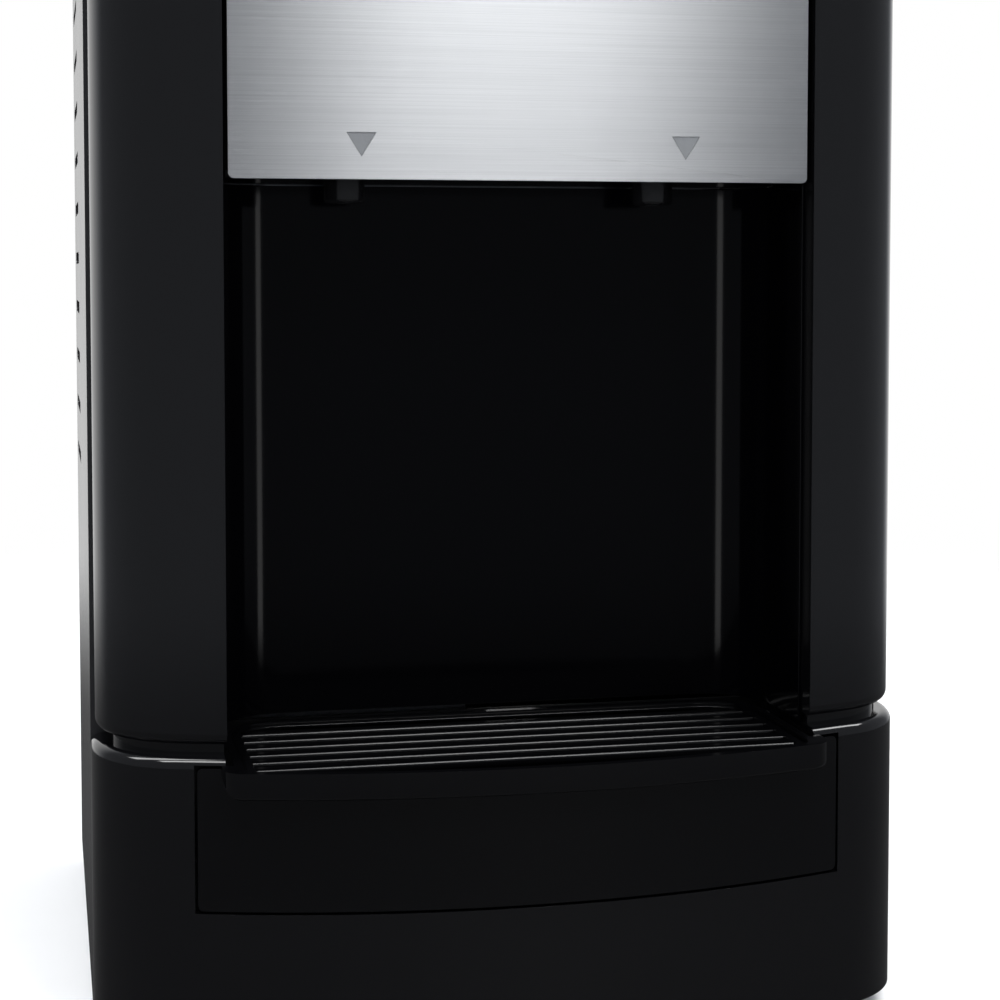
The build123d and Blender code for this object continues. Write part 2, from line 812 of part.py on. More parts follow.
# ---------------------------------------------------------------- cold side
def make_cold_tank():
    tank = rod_z(0, seat_y, cold_low, cold_high, cold_radius)
    tank += rod_z(0, seat_y, cold_high - tank_wall, cold_high, cold_flange)
    reach = seat_y - cold_radius - foam_cold - port_reach
    tank += rod_y(port_x, port_z, reach, seat_y - cold_radius + 10, port_outer)
    tank += rod_z(feed_x, seat_y, foam_floor - 14, cold_low + 1, port_outer)
    tank -= rod_z(0, seat_y, cold_low + tank_wall, cold_high + 1, cold_radius - tank_wall)
    tank -= rod_y(port_x, port_z, reach - 1, seat_y - cold_radius + 12, port_bore)
    tank -= rod_z(feed_x, seat_y, foam_floor - 15, cold_low + 2, port_bore)
    return tank


def make_tank_separator():
    disc = rod_z(0, seat_y, separator_z, separator_z + separator_wall, cold_radius - tank_wall - 0.6)
    for i in range(separator_holes):
        angle = 2 * pi * i / separator_holes
        x = separator_hole_place * cos(angle)
        y = seat_y + separator_hole_place * sin(angle)
        disc -= rod_z(x, y, separator_z - 1, separator_z + 4, separator_hole)
    tube_low = cold_low + tank_wall + 0.4
    disc += rod_z(feed_x, seat_y, tube_low, separator_z + 0.5, separator_tube)
    disc -= rod_z(feed_x, seat_y, tube_low - 1, separator_z + 5, separator_tube - 1.5)
    return disc


def make_cold_insulation():
    foam = rod_z(0, seat_y, foam_floor, cold_high - tank_wall - 0.4, cold_radius + foam_cold)
    foam -= rod_z(0, seat_y, cold_low - snug, cold_high, cold_radius + snug)
    foam -= rod_y(port_x, port_z, seat_y - cold_radius - foam_cold - 1, seat_y, port_outer + 0.5)
    foam -= rod_z(feed_x, seat_y, foam_floor - 1, cold_low + 1, hose_outer + 1)
    hole = block_half + 0.6
    flat = seat_y + cold_radius + foam_cold - 3
    foam -= block(-hole, hole, seat_y, flat + 1, block_z - hole, block_z + hole)
    foam -= block(-cold_radius - foam_cold, cold_radius + foam_cold, flat, flat + foam_cold,
                  foam_floor - 1, cold_high + 1)
    return foam


def make_cold_block():
    slab = block(-block_half, block_half, seat_y + cold_radius - 22, block_back,
                 block_z - block_half, block_z + block_half)
    return slab - rod_z(0, seat_y, cold_low, cold_high, cold_radius + snug / 2)


def make_peltier_module():
    return block(-block_half, block_half, block_back, block_back + peltier_thickness,
                 block_z - block_half, block_z + block_half)


def fan_front():
    """Front face of the fan, which sits against the rear panel."""
    return body_depth - rear_sheet - 0.2 - fan_depth


def make_heat_sink():
    base_y = block_back + peltier_thickness
    sink = block(-sink_half, sink_half, base_y, base_y + sink_base, block_z - sink_half, block_z + sink_half)
    step = (2 * sink_half - fin_thickness) / (fin_count - 1)
    for i in range(fin_count):
        x = -sink_half + step * i
        sink += block(x, x + fin_thickness, base_y + sink_base - 0.1, fan_front() - 0.3,
                      block_z - sink_half, block_z + sink_half)
    return sink


def make_fan_frame():
    y0 = fan_front()
    y1 = y0 + fan_depth
    frame = rounded_front(-fan_half, fan_half, block_z - fan_half, block_z + fan_half, y0, y1, 5)
    frame -= rod_y(0, block_z, y0 - 1, y1 + 1, fan_bore)
    for angle in (45, 135, 225, 315):
        strut = Pos(30, 0, 0) * Box(30, 2.0, 4)
        frame += Pos(0, front_y + y1 - 1.2, block_z) * Rot(0, angle, 0) * strut
    frame += rod_y(0, block_z, y1 - 2.2, y1, fan_hub)
    frame += rod_y(0, block_z, y0 + 3, y1 - 1, fan_pin)
    corner = fan_half - fan_screw_inset
    for x in (-corner, corner):
        for z in (-corner, corner):
            frame -= rod_y(x, block_z + z, y0 - 1, y1 + 1, screw_radius + 0.2)
    return frame


def make_fan_rotor():
    y0 = fan_front() + 1.0
    y1 = fan_front() + fan_depth - 3.0
    rotor = rod_y(0, block_z, y0, y1, fan_hub)
    rotor -= rod_y(0, block_z, y0 + 2, y1 + 1, fan_hub - 3)
    rotor += rod_y(0, block_z, y0 + 1, y1 - 0.5, fan_pin + 2.5)
    span = fan_bore - fan_tip_gap - fan_hub + 1
    for i in range(fan_blades):
        blade = Pos(fan_hub - 1 + span / 2, 0, 0) * Rot(-35, 0, 0) * Box(span, 1.4, 13)
        rotor += Pos(0, front_y + (y0 + y1) / 2, block_z) * Rot(0, 360 * i / fan_blades, 0) * blade
    tip = rod_y(0, block_z, y0 - 0.5, y1 + 0.5, fan_bore - fan_tip_gap)
    rotor &= tip
    return rotor - rod_y(0, block_z, y0 + 1.5, y1 + 1, fan_pin + running)


# ---------------------------------------------------------------- hot side
def hot_ports():
    """Feed and drain ports in the hot tank's floor."""
    return [hot_x - hot_port_inset, hot_x + hot_port_inset]


def make_hot_tank():
    tank = rod_z(hot_x, hot_y, hot_low, hot_high, hot_radius)
    tank = fillet(tank.edges().filter_by(GeomType.CIRCLE), hot_round)
    hollow = rod_z(hot_x, hot_y, hot_low + hot_wall, hot_high - hot_wall, hot_radius - hot_wall)
    tank += rod_z(hot_x, hot_y, hot_high - 1, hot_high + hot_port_length, port_outer)
    for x in hot_ports():
        tank += rod_z(x, hot_y, hot_low - hot_port_length, hot_low + 1, port_outer)
    tank -= fillet(hollow.edges().filter_by(GeomType.CIRCLE), hot_round - hot_wall)
    tank -= rod_z(hot_x, hot_y, hot_high - 5, hot_high + hot_port_length + 1, port_bore)
    for x in hot_ports():
        tank -= rod_z(x, hot_y, hot_low - hot_port_length - 1, hot_low + 5, port_bore)
    return tank


def make_heater_band():
    inner = hot_radius + snug
    band = tube_z(hot_x, hot_y, band_low, band_high, inner + band_thickness, inner)
    return band - block(hot_x - 2, hot_x + 2, hot_y, hot_y + 60, band_low - 1, band_high + 1)


def make_hot_insulation():
    inner = hot_radius + snug + band_thickness + snug
    return tube_z(hot_x, hot_y, hot_low - 1, hot_high + 2, inner + foam_hot, inner)


def make_hot_thermostats():
    discs = []
    top = hot_high + thermostat_height
    for x in (hot_x - thermostat_x, hot_x + thermostat_x):
        disc = rod_z(x, hot_y, hot_high + 0.1, top, thermostat_radius)
        disc += block(x - 1, x + 1, hot_y - 3, hot_y + 3, top - 0.1, top + thermostat_blade)
        discs.append(disc)
    return Compound(children=discs)


def make_hot_tank_bracket():
    x0 = hot_x - bracket_half_x
    x1 = hot_x + bracket_half_x
    y0 = hot_y - bracket_half_y
    y1 = hot_y + bracket_half_y
    bracket = block(x0, x1, y0, y1, bracket_z, bracket_z + sheet)
    low = pan_z + 0.2
    bracket += block(x0, x1, y0, y0 + sheet, low, bracket_z + 0.5)
    bracket += block(x0, x1, y1 - sheet, y1, low, bracket_z + 0.5)
    for x in hot_ports():
        bracket -= rod_z(x, hot_y, bracket_z - 1, bracket_z + 3, hose_outer + 2)
    bracket -= rod_y(drain_x, drain_z, y1 - 5, y1 + 5, hose_outer + 2)
    for angle in (90, 210, 330):
        x = hot_x + bracket_post_place * cos(radians(angle))
        y = hot_y + bracket_post_place * sin(radians(angle))
        bracket += rod_z(x, y, bracket_z + 0.5, hot_low - 0.1, bracket_post)
    return bracket


# ---------------------------------------------------------------- deck, sides and rear
def make_tank_deck():
    half = half_width - sheet - slip
    front = alcove_back + liner_wall + 1
    back = body_depth - rear_sheet - 2
    deck = block(-half, half, front, back, deck_z, deck_z + sheet)
    for side in (-1, 1):
        x0, x1 = sorted((side * half, side * (half - sheet)))
        deck += block(x0, x1, front, back, deck_z - deck_flange, deck_z + 0.5)
    deck -= rod_z(feed_x, seat_y, deck_z - 1, deck_z + 3, hose_outer + 3)
    deck -= rod_z(hot_x, hose_front, deck_z - 1, deck_z + 3, hose_outer + 2)
    for i in range(deck_slots):
        y = deck_slot_first + deck_slot_pitch * i
        deck -= block(-deck_slot_half, deck_slot_half, y, y + deck_slot_width, deck_z - 1, deck_z + 3)
    return deck


def make_side_panel(side):
    y0 = seam_depth + slip
    y1 = body_depth - rear_sheet - 0.2
    x0, x1 = sorted((side * half_width, side * (half_width - sheet)))
    panel = block(x0, x1, y0, y1, panel_low, cover_z)
    f0, f1 = sorted((side * half_width, side * (half_width - panel_flange)))
    panel += block(f0, f1, y0, y0 + sheet, panel_low, cover_z)
    panel += block(f0, f1, y1 - sheet, y1, panel_low, cover_z)
    panel += block(f0, f1, y0, y1, panel_low, panel_low + sheet)
    for i in range(louvre_count):
        z = louvre_first + louvre_pitch * i
        slot = block(side * half_width - 6, side * half_width + 6, louvre_front, louvre_back,
                     z - louvre_height / 2, z + louvre_height / 2)
        slot = fillet(slot.edges().filter_by(Axis.X), louvre_height / 2 - 0.05)
        panel -= slot
    return panel


def screw_places():
    """Screws that hold the rear panel to the side panels' flanges."""
    x = half_width - rear_inset - panel_flange / 2
    return [(side * x, z) for side in (-1, 1) for z in screw_rows]


def fan_screw_places():
    corner = fan_half - fan_screw_inset
    return [(x, block_z + z) for x in (-corner, corner) for z in (-corner, corner)]


def make_rear_panel():
    y0 = body_depth - rear_sheet
    side = half_width - rear_inset
    panel = block(-side, side, y0, body_depth, panel_low, cover_z)
    panel = fillet(panel.edges().filter_by(Axis.Y), rear_corner)
    for i in range(-grille_rows, grille_rows + 1):
        offset = grille_row_pitch * i
        reach = sqrt(fan_bore ** 2 - offset ** 2) - 3
        slot = block(-reach, reach, y0 - 1, body_depth + 1, block_z + offset - grille_row_width / 2,
                     block_z + offset + grille_row_width / 2)
        panel -= fillet(slot.edges().filter_by(Axis.Y), grille_row_width / 2 - 0.1)
    for i in range(vent_count):
        z = vent_first + vent_pitch * i
        slot = block(-vent_half, vent_half, y0 - 1, body_depth + 1, z - vent_width / 2, z + vent_width / 2)
        panel -= fillet(slot.edges().filter_by(Axis.Y), vent_width / 2 - 0.1)
    panel -= rod_y(drain_x, drain_z, y0 - 1, body_depth + 1, drain_outer + 0.3)
    panel -= block(inlet_x - inlet_half_x - 0.2, inlet_x + inlet_half_x + 0.2, y0 - 1, body_depth + 1,
                   inlet_z - inlet_half_z - 0.2, inlet_z + inlet_half_z + 0.2)
    for x in switch_x:
        panel -= block(x - switch_half_x - 0.2, x + switch_half_x + 0.2, y0 - 1, body_depth + 1,
                       switch_z - switch_half_z - 0.2, switch_z + switch_half_z + 0.2)
    for x, z in screw_places() + fan_screw_places():
        panel -= rod_y(x, z, y0 - 1, body_depth + 1, screw_radius + 0.2)
    return panel


def make_case_screws():
    screws = []
    for x, z in screw_places() + fan_screw_places():
        head = rod_y(x, z, body_depth + 0.05, body_depth + screw_height, screw_head)
        head = fillet(head.edges().sort_by(Axis.Y)[-1], 1.2)
        shank = rod_y(x, z, body_depth - rear_sheet - 0.15, body_depth + 0.1, screw_radius)
        y = body_depth + screw_height - 1
        cross = block(x - screw_cross, x + screw_cross, y, y + 2, z - screw_cross_half, z + screw_cross_half)
        cross += block(x - screw_cross_half, x + screw_cross_half, y, y + 2, z - screw_cross, z + screw_cross)
        screws.append(head + shank - cross)
    return Compound(children=screws)


def make_drain_fitting():
    end = body_depth + rear_reach - 2.5
    stub = rod_y(drain_x, drain_z, body_depth - 22, end, drain_outer)
    nut_back = body_depth - rear_sheet - 0.1
    stub += rod_y(drain_x, drain_z, nut_back - drain_nut_height, nut_back, drain_nut)
    stub -= rod_y(drain_x, drain_z, body_depth - 10, end + 1, drain_bore)
    stub -= rod_y(drain_x, drain_z, body_depth - 23, body_depth - 9, hose_outer + 0.1)
    return stub


def make_drain_cap():
    end = body_depth + rear_reach
    cap = rod_y(drain_x, drain_z, body_depth + 0.3, end, drain_cap_radius)
    cap = fillet(cap.edges().sort_by(Axis.Y)[-1], 1.5)
    cap -= rod_y(drain_x, drain_z, body_depth - 1, end - 2, drain_outer + running)
    for i in range(cap_grooves):
        angle = 2 * pi * i / cap_grooves
        x = drain_x + (drain_cap_radius + 0.6) * cos(angle)
        z = drain_z + (drain_cap_radius + 0.6) * sin(angle)
        cap -= rod_y(x, z, body_depth, end + 1, cap_groove)
    return cap


def make_power_inlet():
    y0 = body_depth - inlet_depth
    shell = block(inlet_x - inlet_half_x, inlet_x + inlet_half_x, y0, body_depth + 0.5,
                  inlet_z - inlet_half_z, inlet_z + inlet_half_z)
    flange = rounded_front(inlet_x - inlet_half_x - 4, inlet_x + inlet_half_x + 4,
                           inlet_z - inlet_half_z - 3, inlet_z + inlet_half_z + 3,
                           body_depth + 0.05, body_depth + inlet_flange, 3)
    inlet = shell + flange
    return inlet - block(inlet_x - inlet_half_x + inlet_wall, inlet_x + inlet_half_x - inlet_wall,
                         body_depth - inlet_cavity, body_depth + 3,
                         inlet_z - inlet_half_z + inlet_wall, inlet_z + inlet_half_z - inlet_wall)


def make_inlet_pins():
    pins = []
    root = body_depth - inlet_cavity
    for x, z in pin_places:
        pin = block(inlet_x + x - 1, inlet_x + x + 1, root + 0.05, root + pin_length,
                    inlet_z + z - 2, inlet_z + z + 2)
        pins.append(pin)
    return Compound(children=pins)


def make_switch_bezels():
    bezels = []
    for x in switch_x:
        y0 = body_depth - switch_depth
        shell = block(x - switch_half_x, x + switch_half_x, y0, body_depth + 0.1,
                      switch_z - switch_half_z, switch_z + switch_half_z)
        half_x = switch_half_x + switch_flange
        half_z = switch_half_z + switch_flange
        flange = rounded_front(x - half_x, x + half_x, switch_z - half_z, switch_z + half_z,
                               body_depth + 0.05, body_depth + 1.8, switch_flange)
        bezel = shell + flange
        bezel -= block(x - switch_half_x + switch_rim, x + switch_half_x - switch_rim,
                       y0 + switch_rim, body_depth + 3,
                       switch_z - switch_half_z + switch_rim, switch_z + switch_half_z - switch_rim)
        bezel += rod_x(switch_z, body_depth - switch_pivot, x - switch_half_x + 1, x + switch_half_x - 1,
                       switch_pin)
        bezels.append(bezel)
    return Compound(children=bezels)


def make_rocker(x):
    half_x = switch_half_x - switch_rim - 0.4
    half_z = switch_half_z - switch_rim - 1.2
    pivot_y = body_depth - switch_pivot
    outline = Polyline([
        (0, pivot_y - 3.5, -4), (0, pivot_y - 3.5, 4), (0, pivot_y + 1, half_z),
        (0, pivot_y + 5.0, half_z), (0, pivot_y + 3.6, 0), (0, pivot_y + 5.0, -half_z),
        (0, pivot_y + 1, -half_z)], close=True)
    rocker = extrude(Face(Wire(outline.edges())), amount=half_x, dir=(1, 0, 0), both=True)
    rocker = Rot(rocker_tilt, 0, 0) * Pos(0, -pivot_y, 0) * rocker
    rocker = Pos(x, front_y + pivot_y, switch_z) * rocker
    return rocker - rod_x(switch_z, pivot_y, x - switch_half_x, x + switch_half_x, switch_pin + running)


def make_power_supply():
    low = pan_z + 0.1
    x0, x1 = supply_x
    y0, y1 = supply_y
    case = block(x0, x1, y0, y1, low, low + supply_height)
    case = fillet(case.edges().group_by(Axis.Z)[-1], supply_wall)
    case -= block(x0 + supply_wall, x1 - supply_wall, y0 + supply_wall, y1 - supply_wall,
                  low + supply_wall, low + supply_height - supply_wall)
    for i in range(supply_slots):
        y = y0 + 14 + supply_slot_pitch * i
        case -= block(x0 + 10, x1 - 10, y, y + supply_slot_width,
                      low + supply_height - 3, low + supply_height + 2)
    return case


# ---------------------------------------------------------------- hoses
def make_hot_hose():
    low = hot_high + 2.5
    turn = hot_high + 24
    top = tap_top + 26
    points = [(hot_x, hot_y, low), (hot_x, hot_y, turn), (hot_x, hose_front, turn), (hot_x, hose_front, top),
              (-marker_x, spout_y, top), (-marker_x, spout_y, tap_top + 1)]
    return hose(points, [hot_hose_bend] * 4)


def make_cold_hose():
    start = seat_y - cold_radius - foam_cold - 0.2
    top = tap_top + 28
    points = [(port_x, start, port_z), (port_x, hose_drop, port_z), (port_x, hose_drop, top),
              (marker_x, spout_y, top), (marker_x, spout_y, tap_top + 1)]
    return hose(points, [cold_hose_bend] * 3)


def make_feed_hose():
    low = bracket_z - 18
    end_x = hot_ports()[1]
    points = [(feed_x, seat_y, foam_floor - 0.4), (feed_x, seat_y, low), (end_x, hot_y, low),
              (end_x, hot_y, hot_low - 0.6)]
    return hose(points, [feed_hose_bend] * 2)


def make_drain_hose():
    end = body_depth - 9.5
    points = [(drain_x, hot_y, hot_low - 0.6), (drain_x, hot_y, drain_z), (drain_x, end, drain_z)]
    return hose(points, [drain_hose_bend])


# ---------------------------------------------------------------- writing the pieces
left_column, right_column = make_columns()
pieces = {
    "base_pan": make_base_pan(),
    "rubber_feet": make_rubber_feet(),
    "lower_front_housing": make_lower_front_housing(),
    "tray_bay": make_tray_bay(),
    "drip_tray": make_drip_tray(),
    "drip_grille": make_drip_grille(),
    "left_column": left_column,
    "right_column": right_column,
    "top_cover": make_top_cover(),
    "alcove_liner": make_alcove_liner(),
    "head_shroud": make_head_shroud(),
    "stainless_fascia": make_stainless_fascia(),
    "spout_markers": make_spout_markers(),
    "control_fascia": make_control_fascia(),
    "indicator_lenses": make_indicator_lenses(),
    "control_board": make_control_board(),
    "hot_button": make_button(-1),
    "cold_button": make_button(1),
    "child_lock": make_child_lock(),
    "hot_tap_body": make_tap_body(-1),
    "cold_tap_body": make_tap_body(1),
    "hot_tap_stem": make_tap_stem(-1),
    "cold_tap_stem": make_tap_stem(1),
    "hot_tap_spring": make_tap_spring(-1),
    "cold_tap_spring": make_tap_spring(1),
    "hot_spout": make_spout(-1),
    "cold_spout": make_spout(1),
    "bottle_seat": make_bottle_seat(),
    "bottle_probe": make_bottle_probe(),
    "seat_gasket": make_seat_gasket(),
    "cold_tank": make_cold_tank(),
    "tank_separator": make_tank_separator(),
    "cold_insulation": make_cold_insulation(),
    "cold_block": make_cold_block(),
    "peltier_module": make_peltier_module(),
    "heat_sink": make_heat_sink(),
    "fan_frame": make_fan_frame(),
    "fan_rotor": make_fan_rotor(),
    "hot_tank": make_hot_tank(),
    "heater_band": make_heater_band(),
    "hot_insulation": make_hot_insulation(),
    "hot_thermostats": make_hot_thermostats(),
    "hot_tank_bracket": make_hot_tank_bracket(),
    "tank_deck": make_tank_deck(),
    "hot_hose": make_hot_hose(),
    "cold_hose": make_cold_hose(),
    "feed_hose": make_feed_hose(),
    "drain_hose": make_drain_hose(),
    "drain_fitting": make_drain_fitting(),
    "drain_cap": make_drain_cap(),
    "left_side_panel": make_side_panel(-1),
    "right_side_panel": make_side_panel(1),
    "rear_panel": make_rear_panel(),
    "case_screws": make_case_screws(),
    "power_inlet": make_power_inlet(),
    "inlet_pins": make_inlet_pins(),
    "switch_bezels": make_switch_bezels(),
    "hot_switch": make_rocker(switch_x[0]),
    "cold_switch": make_rocker(switch_x[1]),
    "power_supply": make_power_supply(),
}
for name, shape in pieces.items():
    write(shape, name)
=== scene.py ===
import json
from math import asin, cos, pi, radians, sin, sqrt

import bmesh
import bpy
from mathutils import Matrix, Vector


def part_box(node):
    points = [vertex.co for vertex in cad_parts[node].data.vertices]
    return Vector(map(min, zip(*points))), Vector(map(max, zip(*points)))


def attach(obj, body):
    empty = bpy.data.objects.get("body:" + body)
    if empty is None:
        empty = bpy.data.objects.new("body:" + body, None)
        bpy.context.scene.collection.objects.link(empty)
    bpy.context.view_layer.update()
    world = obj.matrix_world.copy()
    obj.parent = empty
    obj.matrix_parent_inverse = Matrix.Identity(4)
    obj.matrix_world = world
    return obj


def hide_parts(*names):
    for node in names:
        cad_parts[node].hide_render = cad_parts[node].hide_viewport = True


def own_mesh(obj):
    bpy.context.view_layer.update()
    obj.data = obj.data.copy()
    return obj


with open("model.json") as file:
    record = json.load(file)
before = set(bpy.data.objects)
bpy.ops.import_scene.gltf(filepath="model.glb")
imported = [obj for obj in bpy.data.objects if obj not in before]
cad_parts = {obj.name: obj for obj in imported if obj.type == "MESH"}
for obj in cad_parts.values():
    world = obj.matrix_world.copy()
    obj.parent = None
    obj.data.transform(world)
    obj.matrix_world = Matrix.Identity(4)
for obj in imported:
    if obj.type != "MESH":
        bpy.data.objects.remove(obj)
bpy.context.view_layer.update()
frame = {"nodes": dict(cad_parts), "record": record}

# ---------------------------------------------------------------- lower front housing
# The lower front is one injection moulded cover in polished black. It wraps both front corners,
# has the drawer's opening, and its rounded ledge and dark neck carry the columns above it.

mm = 0.001
front_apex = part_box("lower_front_housing")[0].y / mm
half_width = 152
bow_radius = 398
corner_radius = 40
rear_y = 301
rear_corner = 4


def arc(cx, cy, radius, start, end, steps):
    """Points on an arc, with both ends."""
    turns = [start + (end - start) * i / steps for i in range(steps + 1)]
    return [(cx + radius * cos(t), cy + radius * sin(t)) for t in turns]


def bowed_outline(half, front, radius, corner, back, back_corner):
    """Plan outline: bowed front, round front corners, straight sides, flat back."""
    middle = front + radius
    cx = half - corner
    cy = middle - sqrt((radius - corner) ** 2 - cx ** 2)
    lean = asin(cx / (radius - corner))
    line = arc(0, middle, radius, -pi / 2 - lean, -pi / 2 + lean, 64)
    line += arc(cx, cy, corner, -pi / 2 + lean, 0, 20)[1:]
    line += arc(half - back_corner, back - back_corner, back_corner, 0, pi / 2, 6)
    line += arc(back_corner - half, back - back_corner, back_corner, pi / 2, pi, 6)
    line += arc(-cx, cy, corner, pi, 3 * pi / 2 - lean, 20)[:-1]
    return line


def mesh_object(name, points, faces):
    """A mesh object at the origin; points are in millimetres, with Y from the front apex."""
    mesh = bpy.data.meshes.new(name)
    mesh.from_pydata([(x * mm, (front_apex + y) * mm, z * mm) for x, y, z in points], [], faces)
    made = bpy.data.objects.new(name, mesh)
    bpy.context.scene.collection.objects.link(made)
    return made


def loft(name, rows):
    """A closed solid through outlines, each given with its height."""
    points = [(x, y, z) for outline, z in rows for x, y in outline]
    count = len(rows[0][0])
    faces = [tuple(reversed(range(count)))]
    for level in range(len(rows) - 1):
        base = level * count
        for i in range(count):
            j = (i + 1) % count
            faces.append((base + i, base + j, base + count + j, base + count + i))
    faces.append(tuple(range(len(points) - count, len(points))))
    return mesh_object(name, points, faces)


def block(x0, x1, y0, y1, z0, z1):
    """A plain box, used as a cutter or joined to a larger moulding."""
    outline = [(x0, y0), (x1, y0), (x1, y1), (x0, y1)]
    return loft("block", [(outline, z0), (outline, z1)])


def lower_outline(inset):
    """Plan outline of the lower body, moved inwards by the inset."""
    return bowed_outline(half_width - inset, inset, bow_radius - inset, corner_radius - inset,
                         rear_y - inset, rear_corner)


def carve(piece, tool, operation="DIFFERENCE"):
    """Cuts, joins or intersects a piece with a tool, and removes the tool."""
    change = piece.modifiers.new("carve", "BOOLEAN")
    change.operation = operation
    change.solver = "EXACT"
    change.object = tool
    bake(piece)
    bpy.data.objects.remove(tool)


def bake(piece):
    """Turns a piece's modifiers into its mesh."""
    bpy.context.view_layer.update()
    seen = piece.evaluated_get(bpy.context.evaluated_depsgraph_get())
    piece.data = bpy.data.meshes.new_from_object(seen)
    piece.modifiers.clear()


def soften(piece, width, steps=3, angle=35):
    """Small rounded edges, as a mould or a press leaves them."""
    edges = piece.modifiers.new("edges", "BEVEL")
    edges.width = width * mm
    edges.segments = steps
    edges.limit_method = "ANGLE"
    edges.angle_limit = radians(angle)
    piece.data.shade_smooth()
    level = piece.modifiers.new("level", "WEIGHTED_NORMAL")
    level.keep_sharp = True
    bake(piece)


def shoulder_rows(outline, low, high, radius, top=True):
    """Rows of a wall that turns in at its top or bottom edge; outline takes the inset."""
    rows = []
    steps = 8
    for i in range(steps + 1):
        turn = pi / 2 * i / steps
        inset = radius * (1 - cos(turn))
        rise = radius * sin(turn)
        rows.append((outline(inset), high - radius + rise if top else low + radius - rise))
    return [(outline(0), low)] + rows if top else rows[::-1] + [(outline(0), high)]


def new_group(name, inputs, outputs):
    """An empty shader node group with named sockets."""
    group = bpy.data.node_groups.new(name, "ShaderNodeTree")
    for socket, value in inputs:
        made = group.interface.new_socket(socket, in_out="INPUT", socket_type="NodeSocketFloat")
        made.default_value = value
    for socket in outputs:
        group.interface.new_socket(socket, in_out="OUTPUT", socket_type="NodeSocketFloat")
    return group, group.nodes.new("NodeGroupInput"), group.nodes.new("NodeGroupOutput")


def maths(tree, operation, a, b):
    """A Math node fed by sockets or numbers."""
    node = tree.nodes.new("ShaderNodeMath")
    node.operation = operation
    for socket, value in zip(node.inputs, (a, b)):
        if isinstance(value, (int, float)):
            socket.default_value = value
        else:
            tree.links.new(value, socket)
    return node.outputs[0]


def noise(tree, vector, scale, detail=3.0, rough=0.5, bend=0.0):
    """A Noise Texture on the given coordinates."""
    node = tree.nodes.new("ShaderNodeTexNoise")
    node.inputs["Scale"].default_value = scale
    node.inputs["Detail"].default_value = detail
    node.inputs["Roughness"].default_value = rough
    node.inputs["Distortion"].default_value = bend
    tree.links.new(vector, node.inputs["Vector"])
    return node.outputs["Fac"]


# The shared skin of mouldings: slow waviness, fine texture, hairline scuffs and a little dust.
moulded_skin, entry, leave = new_group(
    "moulded_skin", [("Base Roughness", 0.1), ("Texture", 0.0), ("Scuffs", 0.05), ("Dust", 0.1)],
    ["Roughness", "Height", "Dust"])
place = moulded_skin.nodes.new("ShaderNodeTexCoord").outputs["Object"]
scuff = noise(moulded_skin, place, 60.0, 6.0, 0.6, 1.2)
wave = noise(moulded_skin, place, 25.0, 1.0)
grain = noise(moulded_skin, place, 2600.0, 2.0)
specks = moulded_skin.nodes.new("ShaderNodeTexVoronoi")
specks.inputs["Scale"].default_value = 420.0
moulded_skin.links.new(place, specks.inputs["Vector"])
near = maths(moulded_skin, "LESS_THAN", specks.outputs["Distance"], 0.05)
some = maths(moulded_skin, "GREATER_THAN", scuff, 0.6)
dust = maths(moulded_skin, "MULTIPLY", maths(moulded_skin, "MULTIPLY", near, some), entry.outputs["Dust"])
worn = maths(moulded_skin, "MULTIPLY", scuff, entry.outputs["Scuffs"])
rough = maths(moulded_skin, "ADD", entry.outputs["Base Roughness"], worn)
moulded_skin.links.new(maths(moulded_skin, "ADD", rough, dust), leave.inputs["Roughness"])
texture = maths(moulded_skin, "MULTIPLY", grain, entry.outputs["Texture"])
height = maths(moulded_skin, "ADD", maths(moulded_skin, "MULTIPLY", wave, 0.3), texture)
moulded_skin.links.new(height, leave.inputs["Height"])
moulded_skin.links.new(dust, leave.inputs["Dust"])


def new_material(name):
    """A material with its tree and its Principled shader."""
    material = bpy.data.materials.new(name)
    material.use_nodes = True
    return material, material.node_tree, material.node_tree.nodes["Principled BSDF"]


def raise_surface(tree, shader, height, strength, distance):
    """Feeds a height to the shader as bump."""
    bump = tree.nodes.new("ShaderNodeBump")
    bump.inputs["Strength"].default_value = strength
    bump.inputs["Distance"].default_value = distance
    tree.links.new(height, bump.inputs["Height"])
    tree.links.new(bump.outputs["Normal"], shader.inputs["Normal"])


def mix_colours(tree, amount, first, second):
    """A Mix node between two colours."""
    mix = tree.nodes.new("ShaderNodeMix")
    mix.data_type = "RGBA"
    mix.inputs[6].default_value = (*first, 1)
    mix.inputs[7].default_value = (*second, 1)
    tree.links.new(amount, mix.inputs[0])
    return mix.outputs[2]


def moulded(name, colour, roughness, texture=0.0, scuffs=0.05, dust=0.12, level=0.5, bump=0.05):
    """Moulded plastic or rubber with the shared skin."""
    material, tree, shader = new_material(name)
    skin = tree.nodes.new("ShaderNodeGroup")
    skin.node_tree = moulded_skin
    for socket, value in (("Base Roughness", roughness), ("Texture", texture), ("Scuffs", scuffs),
                          ("Dust", dust)):
        skin.inputs[socket].default_value = value
    pale = tuple(0.6 * c + 0.12 for c in colour)
    tree.links.new(mix_colours(tree, skin.outputs["Dust"], colour, pale), shader.inputs["Base Color"])
    tree.links.new(skin.outputs["Roughness"], shader.inputs["Roughness"])
    raise_surface(tree, shader, skin.outputs["Height"], bump, 0.0004)
    shader.inputs["Specular IOR Level"].default_value = level
    return material


gloss_black = moulded("gloss_black", (0.0022, 0.0022, 0.0026), 0.07)


def own(piece, name, body, material, slot, *nodes):
    """Names a finished piece, dresses it, ties it to its body and hides the CAD nodes that it replaces."""
    piece.name = name
    piece.data.name = name
    piece.data.materials.clear()
    piece.data.materials.append(material)
    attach(piece, body)
    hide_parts(*nodes)


